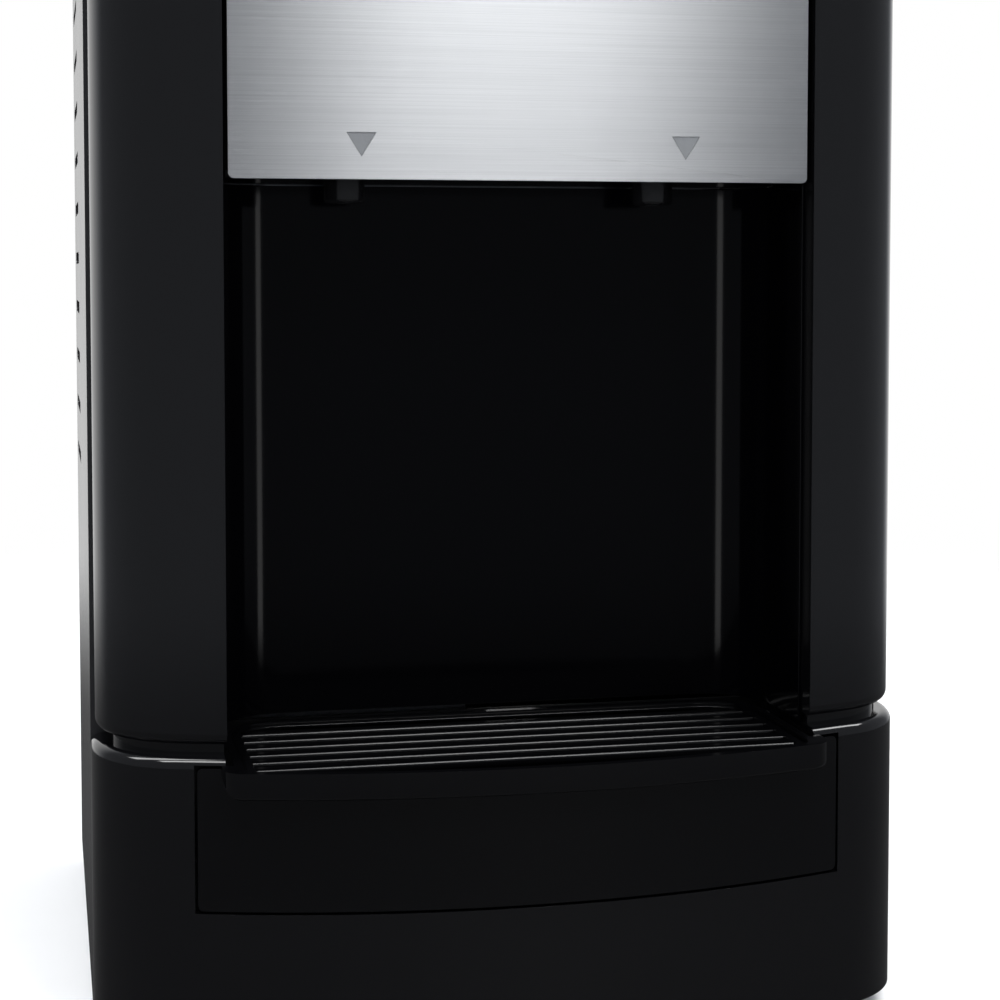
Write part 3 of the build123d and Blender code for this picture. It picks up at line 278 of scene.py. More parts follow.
housing_low = 8
ledge_z = 113.5
housing_wall = 3
joint_y = 66                # the front mouldings end here, and the side panels begin
beyond = 160                # past the sides, for cutters
behind = 310                # past the rear, for cutters
neck_inset = 7
neck_top = 117
alcove_gap = 107.4          # half of the ledge's gap at the alcove
mouth_half = 118
mouth_low = 59
mouth_high = 111
housing = loft("housing", shoulder_rows(lower_outline, housing_low, ledge_z, 4))
inner = lower_outline(housing_wall)
carve(housing, loft("inside", [(inner, housing_low - 1), (inner, ledge_z - housing_wall)]))
carve(housing, block(-beyond, beyond, joint_y, behind, 0, 120))
neck = loft("neck", [(lower_outline(neck_inset), 112), (lower_outline(neck_inset), neck_top)])
inner = lower_outline(neck_inset + housing_wall)
carve(neck, loft("inside", [(inner, 111), (inner, neck_top + 1)]))
carve(neck, block(-beyond, beyond, joint_y, behind, 100, 120))
carve(housing, neck, "UNION")
carve(housing, block(-alcove_gap, alcove_gap, -2, 93, 110, neck_top + 1))
carve(housing, block(-mouth_half, mouth_half, -2, 40, mouth_low, mouth_high))
soften(housing, 0.35)
own(housing, "lower_housing", "cabinet", gloss_black, "gloss_black", "lower_front_housing")

# ---------------------------------------------------------------- columns
# Two hollow mouldings stand on the ledge and frame the alcove. Their fronts follow the same bow,
# their lower edges are rounded, and each returns inwards to meet the alcove's liner.

upper_half = 150.6
set_back = 3
cover_wall = 2.5            # wall of the columns and of the lid
column_low = 117.2
column_high = 462
column_inner = 106.6
return_y = 27               # the return's back edge, where the alcove's wall begins
return_outer = 108


def upper_outline(inset):
    """Plan outline of the upper body, a little inside the lower one."""
    return bowed_outline(upper_half - inset, set_back + inset, bow_radius - set_back - inset,
                         corner_radius - set_back - inset, rear_y - inset, rear_corner)


for side, node in ((-1, "left_column"), (1, "right_column")):
    column = loft(node, shoulder_rows(upper_outline, column_low, column_high, 4, top=False))
    x0, x1 = sorted((side * column_inner, side * beyond))
    carve(column, block(x0, x1, -2, joint_y, 110, 470), "INTERSECT")
    inner = upper_outline(cover_wall)
    cavity = loft("cavity", [(inner, column_low + cover_wall), (inner, 470)])
    x0, x1 = sorted((side * (column_inner + cover_wall), side * beyond))
    carve(cavity, block(x0, x1, -2, 70, 110, 471), "INTERSECT")
    carve(column, cavity)
    x0, x1 = sorted((side * 90, side * return_outer))
    carve(column, block(x0, x1, return_y, 70, 110, 471))
    soften(column, 0.5)
    own(column, node + "_cover", "cabinet", gloss_black, "gloss_black", node)

# ---------------------------------------------------------------- alcove liner
# The alcove is lined with one bent and moulded wall. Its black is made darker and less reflective
# than the columns' as painted shade, for the shade that falls in the alcove. Its back corners are
# wide curves, so they show upright highlights, and it drops in behind the columns' returns.

# Darker colour and weaker reflection than gloss_black: painted shade for the alcove and the head's underside.
alcove_black = moulded("alcove_black", (0.0006, 0.0006, 0.0009), 0.08, scuffs=0.06, level=0.12)


def horseshoe(half, start, back, corner):
    """Plan line of the alcove's wall, from its right front edge round to its left one."""
    line = [(half, start)]
    line += arc(half - corner, back - corner, corner, 0, pi / 2, 24)
    line += arc(corner - half, back - corner, corner, pi / 2, pi, 24)
    return line + [(-half, start)]


liner_half = 107.6
liner_start = 27.3
liner_back = 85
liner_corner = 27
liner_wall = 2
head_z = 313                # underside of the head
outer = horseshoe(liner_half, liner_start, liner_back, liner_corner)
inner = horseshoe(liner_half - liner_wall, liner_start, liner_back - liner_wall, liner_corner - liner_wall)
wall_plan = outer + inner[::-1]
liner = loft("liner", [(wall_plan, 113.7), (wall_plan, head_z)])
soften(liner, 0.4, angle=60)
own(liner, "alcove_wall", "cabinet", alcove_black, "alcove_black", "alcove_liner")

# ---------------------------------------------------------------- drip tray
# The drawer front, the lip that it is pulled by and the basin are one moulding. It slides out on
# two rails, and the grille rests on its rim.

tray_black = moulded("tray_black", (0.0012, 0.0012, 0.0015), 0.08, scuffs=0.1, dust=0.2, level=0.4)


def tray_outline(half, reach, corner, back, back_corner):
    """Plan outline of the tray's parts; reach is how far it stands out of the body's front."""
    return bowed_outline(half, -reach, bow_radius + reach, corner, back, back_corner)


def rounded_plate(x0, x1, z0, z1, y0, y1, radius):
    """A plate that faces the front, with four round corners."""
    line = arc(x1 - radius, z0 + radius, radius, -pi / 2, 0, 10)
    line += arc(x1 - radius, z1 - radius, radius, 0, pi / 2, 10)
    line += arc(x0 + radius, z1 - radius, radius, pi / 2, pi, 10)
    line += arc(x0 + radius, z0 + radius, radius, pi, 3 * pi / 2, 10)
    count = len(line)
    points = [(x, y0, z) for x, z in line] + [(x, y1, z) for x, z in line]
    faces = [tuple(range(count)), tuple(reversed(range(count, 2 * count)))]
    for i in range(count):
        j = (i + 1) % count
        faces.append((i, count + i, count + j, j))
    return mesh_object("plate", points, faces)


def straight(outline, low, high):
    """A straight walled solid on an outline."""
    return loft("straight", [(outline, low), (outline, high)])


drawer_half = 117
drawer_low = 60
drawer_high = 110
tray = straight(lower_outline(0), drawer_low, drawer_high)
carve(tray, straight(lower_outline(3), drawer_low - 10, drawer_high + 10))
carve(tray, rounded_plate(-drawer_half, drawer_half, drawer_low, drawer_high, -2, 40, 2), "INTERSECT")

lip_half = 109
lip_reach = 13
lip_low = 102
rim_z = 111.5


def lip_outline(inset):
    """Plan outline of the lip that the tray is pulled by."""
    return tray_outline(lip_half - inset, lip_reach - inset, 8 - inset, 30 - inset, 2.1)


lip = loft("lip", shoulder_rows(lip_outline, lip_low, rim_z, 2, top=False))
carve(lip, rounded_plate(-lip_half, lip_half, lip_low, 122, -16, 32, 6.5), "INTERSECT")
carve(lip, straight(lower_outline(1.5), 100, drawer_high))
carve(lip, straight(lower_outline(-1), drawer_high, 120))
carve(tray, lip, "UNION")
carve(tray, straight(tray_outline(104.6, 12.5, 6, 82.4, 24), 105.6, rim_z), "UNION")

seat_z = 107.6              # the grille rests here
basin_low = 64
basin_half = 99
basin_back = 79
basin_wall = 2
basin = straight(lower_outline(2), basin_low, seat_z)
carve(basin, straight(tray_outline(basin_half, lip_reach, 6, basin_back, 18), basin_low, seat_z), "INTERSECT")
carve(tray, basin, "UNION")
carve(tray, straight(tray_outline(101.6, 9.4, 4, 79.4, 20), seat_z, 113))
floor_z = basin_low + basin_wall
hollow = straight(lower_outline(3.5), floor_z, 108.6)
inner = tray_outline(basin_half - basin_wall, lip_reach, 5, basin_back - basin_wall, 16)
carve(hollow, straight(inner, floor_z, 108.6), "INTERSECT")
carve(tray, hollow)
soften(tray, 0.3)
own(tray, "tray_moulding", "tray", tray_black, "tray_black", "drip_tray")

# ---------------------------------------------------------------- drip grille
# A moulded grille drops into the tray's rim. Rounded ribs run from side to side in a narrow frame,
# and spills run between them into the basin.

grille_low = 107.7
grille_high = 110.4
frame_width = 3.5


def grille_outline(inset):
    """Plan outline of the grille's frame."""
    return tray_outline(101.2 - inset, 9 - inset, 4, 79 - inset, 19.6 - inset)


frame_ring = loft("frame_ring", shoulder_rows(grille_outline, grille_low, grille_high, 0.9))
carve(frame_ring, straight(grille_outline(frame_width), 100, 120))
soften(frame_ring, 0.2)


def new_tree(name, inputs):
    """An empty Geometry Nodes tree with named inputs and one geometry output."""
    tree = bpy.data.node_groups.new(name, "GeometryNodeTree")
    for socket, kind, value in inputs:
        made = tree.interface.new_socket(socket, in_out="INPUT", socket_type=kind)
        if value is not None:
            made.default_value = value
    tree.interface.new_socket("Geometry", in_out="OUTPUT", socket_type="NodeSocketGeometry")
    return tree, tree.nodes.new("NodeGroupInput"), tree.nodes.new("NodeGroupOutput")


def link(tree, start, end):
    """Joins an output to an input."""
    tree.links.new(start, end)


# Copies of one moulded or pressed shape along a line: count, first place and step are inputs.
row_tree, row_in, row_out = new_tree("row_of_copies", [
    ("Shape", "NodeSocketObject", None), ("Count", "NodeSocketInt", 8),
    ("Start", "NodeSocketVector", (0, 0, 0)), ("Step", "NodeSocketVector", (0, 0, 0.01)),
    ("Finish", "NodeSocketMaterial", None)])
row_line = row_tree.nodes.new("GeometryNodeMeshLine")
link(row_tree, row_in.outputs["Count"], row_line.inputs["Count"])
link(row_tree, row_in.outputs["Start"], row_line.inputs["Start Location"])
link(row_tree, row_in.outputs["Step"], row_line.inputs["Offset"])
row_shape = row_tree.nodes.new("GeometryNodeObjectInfo")
link(row_tree, row_in.outputs["Shape"], row_shape.inputs["Object"])
row_copies = row_tree.nodes.new("GeometryNodeInstanceOnPoints")
link(row_tree, row_line.outputs["Mesh"], row_copies.inputs["Points"])
link(row_tree, row_shape.outputs["Geometry"], row_copies.inputs["Instance"])
row_real = row_tree.nodes.new("GeometryNodeRealizeInstances")
link(row_tree, row_copies.outputs["Instances"], row_real.inputs["Geometry"])
row_dress = row_tree.nodes.new("GeometryNodeSetMaterial")
link(row_tree, row_real.outputs["Geometry"], row_dress.inputs["Geometry"])
link(row_tree, row_in.outputs["Finish"], row_dress.inputs["Material"])
link(row_tree, row_dress.outputs["Geometry"], row_out.inputs["Geometry"])


def socket_id(tree, name):
    """The identifier of a tree's input."""
    return next(i.identifier for i in tree.interface.items_tree if i.name == name and i.in_out == "INPUT")


def grow(tree, name, settings):
    """Runs a Geometry Nodes tree on an empty mesh and keeps the mesh that comes out."""
    made = bpy.data.objects.new(name, bpy.data.meshes.new(name))
    bpy.context.scene.collection.objects.link(made)
    run = made.modifiers.new("grow", "NODES")
    run.node_group = tree
    for key, value in settings.items():
        run[socket_id(tree, key)] = value
    bake(made)
    return made


def at_origin(x, y, z):
    """A point of the object in metres, for trees that place things."""
    return (x * mm, (front_apex + y) * mm, z * mm)


def centre(shape):
    """Puts a shape that is drawn about Y 0 at the origin, so that copies land on their points."""
    for vertex in shape.data.vertices:
        vertex.co.y -= front_apex * mm


def join(target, *others):
    """Joins meshes into one piece without cutting them."""
    merged = bmesh.new()
    for piece in (target, *others):
        merged.from_mesh(piece.data)
    merged.to_mesh(target.data)
    merged.free()
    for piece in others:
        bpy.data.objects.remove(piece)
    return target


rib_half = 2.4              # half of a rib's thickness
rib_end = 97.4              # half of its length
rib_pitch = 0.011           # in metres, like every place that a tree takes
rib_shoulder = 109.5
rib_crown = 0.9
eighths = [pi / 8, pi / 4, 3 * pi / 8]
rib_line = [(-rib_half, 107.8), (rib_half, 107.8), (rib_half, rib_shoulder)]
rib_line += [(rib_half * cos(t), rib_shoulder + rib_crown * sin(t)) for t in eighths]
rib_line += [(1.4, grille_high), (-1.4, grille_high)]
rib_line += [(-rib_half * cos(t), rib_shoulder + rib_crown * sin(t)) for t in reversed(eighths)]
rib_line += [(-rib_half, rib_shoulder)]
rib_count = len(rib_line)
rib_points = [(-rib_end, y, z) for y, z in rib_line] + [(rib_end, y, z) for y, z in rib_line]
rib_faces = [tuple(reversed(range(rib_count))), tuple(range(rib_count, 2 * rib_count))]
for i in range(rib_count):
    j = (i + 1) % rib_count
    rib_faces.append((i, j, rib_count + j, rib_count + i))
rib = mesh_object("rib", rib_points, rib_faces)
centre(rib)
ribs = grow(row_tree, "ribs", {"Shape": rib, "Count": 7, "Start": at_origin(0, 11.9, 0),
                               "Step": (0, rib_pitch, 0), "Finish": tray_black})
bpy.data.objects.remove(rib)
carve(ribs, straight(grille_outline(2), 100, 120), "INTERSECT")
lead = straight(tray_outline(97.6, 7.5, 4, 2.9, 0.6), grille_low, 110.3)
carve(lead, straight(grille_outline(2), 100, 120), "INTERSECT")
ribs.data.shade_smooth()
ribs.data.set_sharp_from_angle(angle=radians(40))
soften(lead, 0.3)
grille = join(frame_ring, ribs, lead)
own(grille, "grille_moulding", "grille", tray_black, "tray_black", "drip_grille")

# ---------------------------------------------------------------- stainless fascia
# A flat stainless sheet, ground from side to side and with softened edges. It is bonded to the
# black shroud behind it, and two pressed triangles in it point at the spouts.

steel, tree, shader = new_material("ground_steel")
place = tree.nodes.new("ShaderNodeTexCoord").outputs["Object"]
stretch = tree.nodes.new("ShaderNodeMapping")
stretch.inputs["Scale"].default_value = (7.0, 1.0, 3400.0)
tree.links.new(place, stretch.inputs["Vector"])
lines = noise(tree, stretch.outputs["Vector"], 1.0, 4.0, 0.65)
wide = tree.nodes.new("ShaderNodeMapping")
wide.inputs["Scale"].default_value = (3.0, 1.0, 240.0)
tree.links.new(place, wide.inputs["Vector"])
bands = noise(tree, wide.outputs["Vector"], 1.0, 2.0)
smears = noise(tree, place, 9.0, 3.0, 0.5, 0.8)
tone = maths(tree, "ADD", maths(tree, "MULTIPLY", lines, 0.88), maths(tree, "MULTIPLY", bands, 0.12))
tree.links.new(mix_colours(tree, tone, (0.42, 0.43, 0.445), (0.7, 0.71, 0.725)), shader.inputs["Base Color"])
shader.inputs["Metallic"].default_value = 1.0
gloss = maths(tree, "ADD", maths(tree, "MULTIPLY", smears, 0.08), 0.22)
tree.links.new(maths(tree, "ADD", gloss, maths(tree, "MULTIPLY", lines, 0.08)), shader.inputs["Roughness"])
shader.inputs["Anisotropic"].default_value = 1.0
along = tree.nodes.new("ShaderNodeTangent")
along.direction_type = "UV_MAP"
along.uv_map = "grind"
tree.links.new(along.outputs["Tangent"], shader.inputs["Tangent"])
raise_surface(tree, shader, tone, 0.12, 0.0002)

marker_x = 58.7             # the spouts, taps and markers share this place
marker_half = 5.15
marker_top = 329.2
marker_tip = 321
steel_y = 20
steel_half = 104.8
sheet_steel = rounded_plate(-steel_half, steel_half, head_z, 411, steel_y, steel_y + 1.2, 2)
for x in (-marker_x, marker_x):
    dent = [(x - marker_half, marker_top), (x, marker_tip), (x + marker_half, marker_top)]
    points = [(px, steel_y - 1, pz) for px, pz in dent] + [(px, steel_y + 0.4, pz) for px, pz in dent]
    dent_faces = [(0, 1, 2), (5, 4, 3), (0, 3, 4, 1), (1, 4, 5, 2), (2, 5, 3, 0)]
    carve(sheet_steel, mesh_object("dent", points, dent_faces))
soften(sheet_steel, 0.3)
grind = sheet_steel.data.uv_layers.new(name="grind")
for loop in sheet_steel.data.loops:
    spot = sheet_steel.data.vertices[loop.vertex_index].co
    grind.data[loop.index].uv = (spot.z * 2, spot.x * 2)
own(sheet_steel, "steel_sheet", "cabinet", steel, "stainless", "stainless_fascia")

# ---------------------------------------------------------------- top cover
# The top is a shallow moulded lid with a wide rounded edge. It closes the case and has the round
# opening that the bottle seat hangs in.

lid_low = 462.3
lid_high = 480
opening_y = 165
opening_radius = 95
lid = loft("lid", shoulder_rows(upper_outline, lid_low, lid_high, 8))
inner = upper_outline(cover_wall)
carve(lid, straight(inner, lid_low + cover_wall, lid_high - cover_wall))
room = straight(inner, 460, 465)
carve(room, block(-beyond, beyond, 22.5, behind, 455, 470), "INTERSECT")
carve(lid, room)
ring = arc(0, opening_y, opening_radius, 0, 2 * pi, 128)[:-1]
carve(lid, straight(ring, 455, 485))
soften(lid, 0.4)
own(lid, "lid_moulding", "cabinet", gloss_black, "gloss_black", "top_cover")

# ---------------------------------------------------------------- head shroud and spouts
# A black moulding closes the head over the alcove. Two short round nozzles come down through it,
# each pressed into a white tap body above, with a rounded mouth.


def refined(node, width):
    """A copy of a CAD piece's mesh with its flats joined and its edges rounded."""
    piece = bpy.data.objects.new(node + "_copy", frame["nodes"][node].data.copy())
    bpy.context.scene.collection.objects.link(piece)
    clean = bmesh.new()
    clean.from_mesh(piece.data)
    bmesh.ops.remove_doubles(clean, verts=clean.verts, dist=0.00001)
    bmesh.ops.dissolve_limit(clean, angle_limit=radians(0.5), verts=clean.verts, edges=clean.edges)
    clean.to_mesh(piece.data)
    clean.free()
    if piece.data.has_custom_normals:
        piece.data.attributes.remove(piece.data.attributes["custom_normal"])
    soften(piece, width, angle=40)
    return piece


spout_black = moulded("spout_black", (0.004, 0.004, 0.0045), 0.14)
# The head's underside takes the same darkened black, painted shade under the head.
own(refined("head_shroud", 0.3), "head_underside", "cabinet", alcove_black, "alcove_black", "head_shroud")
for node in ("hot_spout", "cold_spout"):
    own(refined(node, 0.25), node + "_nozzle", "cabinet", spout_black, "spout_black", node)

# ---------------------------------------------------------------- control panel
# The panel over the steel is a black moulding with windows for two buttons, three lenses and the
# child lock. Buttons are coloured mouldings on long arms, and the lock is a ribbed red slide.

hot_red = moulded("hot_red", (0.5, 0.015, 0.012), 0.2)
cold_blue = moulded("cold_blue", (0.012, 0.06, 0.42), 0.2)
lock_red = moulded("lock_red", (0.42, 0.02, 0.015), 0.28)
lens_clear = moulded("lens_clear", (0.75, 0.78, 0.8), 0.06)
lens_clear.node_tree.nodes["Principled BSDF"].inputs["Transmission Weight"].default_value = 0.6
own(refined("control_fascia", 0.35), "control_panel", "cabinet", gloss_black, "gloss_black",
    "control_fascia")
own(refined("hot_button", 0.3), "hot_push_button", "hot_button", hot_red, "hot_red", "hot_button")
own(refined("cold_button", 0.3), "cold_push_button", "cold_button", cold_blue, "cold_blue", "cold_button")
own(refined("child_lock", 0.2), "lock_slide", "child_lock", lock_red, "lock_red", "child_lock")
own(refined("indicator_lenses", 0.3), "lamp_lenses", "cabinet", lens_clear, "lens_clear",
    "indicator_lenses")

# ---------------------------------------------------------------- bottle seat
# A white moulded funnel hangs in the lid and takes the bottle's neck. A hollow probe stands in its
# socket, opens the bottle's cap and lets the water down.

seat_white = moulded("seat_white", (0.56, 0.56, 0.545), 0.2, scuffs=0.12)
funnel = refined("bottle_seat", 0.6)
own(funnel, "funnel", "bottle_seat", seat_white, "seat_white", "bottle_seat")
probe = refined("bottle_probe", 0.3)
own(probe, "probe", "bottle_seat", seat_white, "seat_white", "bottle_probe")

# ---------------------------------------------------------------- side panels and louvres
# Each side is a folded steel sheet in black powder coat, with eleven slots in its rear part. A
# slanted blade behind each one keeps splashes out, but not where the tank deck's flange stands.


def painted(name, colour, roughness, bump=0.25):
    """Powder coat: fine orange peel, small tone changes and rubbed spots."""
    material, tree, shader = new_material(name)
    place = tree.nodes.new("ShaderNodeTexCoord").outputs["Object"]
    skin = noise(tree, place, 900.0, 2.0)
    patch = noise(tree, place, 14.0, 5.0, 0.6, 0.6)
    lighter = tuple(min(1.0, c * 1.2 + 0.002) for c in colour)
    tree.links.new(mix_colours(tree, patch, colour, lighter), shader.inputs["Base Color"])
    tree.links.new(maths(tree, "ADD", maths(tree, "MULTIPLY", patch, 0.05), roughness),
                   shader.inputs["Roughness"])
    raise_surface(tree, shader, skin, bump, 0.0003)
    return material


louvre_count = 11
louvre_pitch = 0.0214       # in metres, like every place that a tree takes
blade_half = 35.5           # half of a blade's length
flange_low = 297            # the tank deck's flange stands here, so the blade stops
flange_high = 314
case_paint = painted("case_paint", (0.012, 0.012, 0.013), 0.2, bump=0.08)
for side, node in ((-1, "left_side_panel"), (1, "right_side_panel")):
    panel = refined(node, 0.25)
    x_out = side * 151.2
    x_in = side * 146.5
    section = [(x_out, 3.0), (x_out, 2.2), (x_in, -3.4), (x_in, -2.6)]
    points = [(x, y, z) for y in (-blade_half, blade_half) for x, z in section]
    faces = [(0, 1, 2, 3), (7, 6, 5, 4)] + [(i, 4 + i, 4 + (i + 1) % 4, (i + 1) % 4) for i in range(4)]
    if side > 0:
        faces = [tuple(reversed(face)) for face in faces]
    blade = mesh_object("blade", points, faces)
    centre(blade)
    soften(blade, 0.2)
    blades = grow(row_tree, "blades", {
        "Shape": blade, "Count": louvre_count, "Start": at_origin(0, 240, 201),
        "Step": (0, 0, louvre_pitch), "Finish": case_paint})
    bpy.data.objects.remove(blade)
    carve(blades, block(-half_width, half_width, 200, 280, flange_low, flange_high))
    join(panel, blades)
    own(panel, node + "_sheet", "cabinet", case_paint, "case_paint", node)
own(refined("rear_panel", 0.3), "rear_sheet", "cabinet", case_paint, "case_paint", "rear_panel")

# ---------------------------------------------------------------- case fixings
# Zinc plated cross-headed screws hold the rear panel and the fan. Their heads are domed, and each
# one stopped at its own angle when it was driven in.

zinc, tree, shader = new_material("zinc_steel")
place = tree.nodes.new("ShaderNodeTexCoord").outputs["Object"]
cloud = noise(tree, place, 500.0, 4.0, 0.6)
tree.links.new(mix_colours(tree, cloud, (0.42, 0.43, 0.46), (0.68, 0.69, 0.72)), shader.inputs["Base Color"])
tree.links.new(maths(tree, "ADD", maths(tree, "MULTIPLY", cloud, 0.25), 0.22), shader.inputs["Roughness"])
shader.inputs["Metallic"].default_value = 1.0
raise_surface(tree, shader, cloud, 0.15, 0.0002)

# Copies of one shape on the points of another mesh, each turned by chance about the Y axis.
spot_tree, spot_in, spot_out = new_tree("copies_on_points", [
    ("Shape", "NodeSocketObject", None), ("Places", "NodeSocketObject", None),
    ("Turn", "NodeSocketFloat", 3.0), ("Finish", "NodeSocketMaterial", None), ("Seed", "NodeSocketInt", 5)])
spot_shape = spot_tree.nodes.new("GeometryNodeObjectInfo")
link(spot_tree, spot_in.outputs["Shape"], spot_shape.inputs["Object"])
spot_places = spot_tree.nodes.new("GeometryNodeObjectInfo")
link(spot_tree, spot_in.outputs["Places"], spot_places.inputs["Object"])
spot_chance = spot_tree.nodes.new("FunctionNodeRandomValue")
spot_chance.data_type = "FLOAT"
link(spot_tree, spot_in.outputs["Turn"], spot_chance.inputs[3])
link(spot_tree, spot_in.outputs["Seed"], spot_chance.inputs["Seed"])
spot_angle = spot_tree.nodes.new("ShaderNodeCombineXYZ")
link(spot_tree, spot_chance.outputs[1], spot_angle.inputs["Y"])
spot_copies = spot_tree.nodes.new("GeometryNodeInstanceOnPoints")
link(spot_tree, spot_places.outputs["Geometry"], spot_copies.inputs["Points"])
link(spot_tree, spot_shape.outputs["Geometry"], spot_copies.inputs["Instance"])
link(spot_tree, spot_angle.outputs["Vector"], spot_copies.inputs["Rotation"])
spot_real = spot_tree.nodes.new("GeometryNodeRealizeInstances")
link(spot_tree, spot_copies.outputs["Instances"], spot_real.inputs["Geometry"])
spot_dress = spot_tree.nodes.new("GeometryNodeSetMaterial")
link(spot_tree, spot_real.outputs["Geometry"], spot_dress.inputs["Geometry"])
link(spot_tree, spot_in.outputs["Finish"], spot_dress.inputs["Material"])
link(spot_tree, spot_dress.outputs["Geometry"], spot_out.inputs["Geometry"])

# The head's profile, as radius and height, from its crown to the shank that holds it in the panel.
dome = [(1.6, 2.1), (2.9, 1.75), (3.6, 1.2), (3.95, 0.6), (4.0, 0.05), (2.0, 0.05), (2.0, -1.6)]
turns = 28
points = []
faces = []
for r, y in dome:
    points += [(r * cos(2 * pi * i / turns), y, r * sin(2 * pi * i / turns)) for i in range(turns)]
for level in range(len(dome) - 1):
    for i in range(turns):
        j = (i + 1) % turns
        base = level * turns
        faces.append((base + i, base + j, base + turns + j, base + turns + i))
faces.append(tuple(reversed(range(turns))))
faces.append(tuple(range(len(points) - turns, len(points))))
screw = mesh_object("screw", points, faces)
cross_half = 2.2
cross_width = 0.4
for half_x, half_z in ((cross_half, cross_width), (cross_width, cross_half)):
    carve(screw, block(-half_x, half_x, 1.1, 4, -half_z, half_z))
centre(screw)
soften(screw, 0.12, 2)
fan_z = 370
fan_hole = 41
spots = [(x, rear_y, z) for x in (-146.5, 146.5) for z in (30, 160, 300, 440)]
spots += [(x, rear_y, fan_z + z) for x in (-fan_hole, fan_hole) for z in (-fan_hole, fan_hole)]
heads = mesh_object("heads", spots, [])
screws = grow(spot_tree, "screws", {
    "Shape": screw, "Places": heads, "Turn": 3.0, "Finish": zinc, "Seed": 5})
bpy.data.objects.remove(screw)
bpy.data.objects.remove(heads)
own(screws, "cross_head_screws", "cabinet", zinc, "zinc_steel", "case_screws")

# ---------------------------------------------------------------- rear fittings
# The rear carries the power inlet, two rockers in black bezels and the drain. The rockers are red
# and blue mouldings on a pin, and the drain's cap is ribbed for the fingers.

inlet_black = moulded("inlet_black", (0.01, 0.01, 0.01), 0.35, texture=0.8)
own(refined("power_inlet", 0.4), "inlet_shell", "cabinet", inlet_black, "inlet_black", "power_inlet")
own(refined("switch_bezels", 0.3), "rocker_bezels", "cabinet", inlet_black, "inlet_black", "switch_bezels")
own(refined("hot_switch", 0.4), "hot_rocker_cap", "hot_rocker", hot_red, "hot_red", "hot_switch")
own(refined("cold_switch", 0.4), "cold_rocker_cap", "cold_rocker", cold_blue, "cold_blue", "cold_switch")
own(refined("drain_fitting", 0.2), "drain_spigot", "cabinet", inlet_black, "inlet_black", "drain_fitting")
own(refined("drain_cap", 0.3), "ribbed_cap", "drain_cap", inlet_black, "inlet_black", "drain_cap")

# ---------------------------------------------------------------- base pan and feet
# The case stands on a ribbed tray moulded in a coarse black plastic, on four rubber feet. Each
# foot has a barbed stem that was pulled up through the pan.

base_plastic = moulded("base_plastic", (0.014, 0.014, 0.015), 0.45, texture=1.0, bump=0.3)
own(refined("base_pan", 0.3), "base_moulding", "cabinet", base_plastic, "base_plastic", "base_pan")
foot_rubber = moulded("foot_rubber", (0.018, 0.018, 0.018), 0.7, texture=1.0, dust=0.5, bump=0.4)
own(refined("rubber_feet", 0.3), "feet", "cabinet", foot_rubber, "foot_rubber", "rubber_feet")

# ---------------------------------------------------------------- the other pieces' finishes
# The rest of the case, the water circuit and the electrical parts keep their made shapes, and
# each takes the finish of its own material.


def bare_metal(name, dark, light, roughness):
    """Drawn, spun or ground metal with lines along one axis."""
    material, tree, shader = new_material(name)
    place = tree.nodes.new("ShaderNodeTexCoord").outputs["Object"]
    stretch = tree.nodes.new("ShaderNodeMapping")
    stretch.inputs["Scale"].default_value = (60.0, 60.0, 900.0)
    tree.links.new(place, stretch.inputs["Vector"])
    lines = noise(tree, stretch.outputs["Vector"], 1.0, 4.0, 0.6)
    cloud = noise(tree, place, 35.0, 3.0)
    tree.links.new(mix_colours(tree, lines, dark, light), shader.inputs["Base Color"])
    tree.links.new(maths(tree, "ADD", maths(tree, "MULTIPLY", cloud, 0.2), roughness),
                   shader.inputs["Roughness"])
    shader.inputs["Metallic"].default_value = 1.0
    raise_surface(tree, shader, lines, 0.12, 0.0002)
    return material


def cellular(name, dark, light, size, roughness):
    """Foam or fibre: cells of changing tone that stand in relief."""
    material, tree, shader = new_material(name)
    place = tree.nodes.new("ShaderNodeTexCoord").outputs["Object"]
    cells = tree.nodes.new("ShaderNodeTexVoronoi")
    cells.inputs["Scale"].default_value = size
    tree.links.new(place, cells.inputs["Vector"])
    tree.links.new(mix_colours(tree, cells.outputs["Distance"], light, dark), shader.inputs["Base Color"])
    fine = noise(tree, place, size * 2, 3.0)
    gloss = maths(tree, "ADD", maths(tree, "MULTIPLY", fine, 0.2), roughness)
    tree.links.new(gloss, shader.inputs["Roughness"])
    raise_surface(tree, shader, cells.outputs["Distance"], 0.6, 0.0005)
    return material


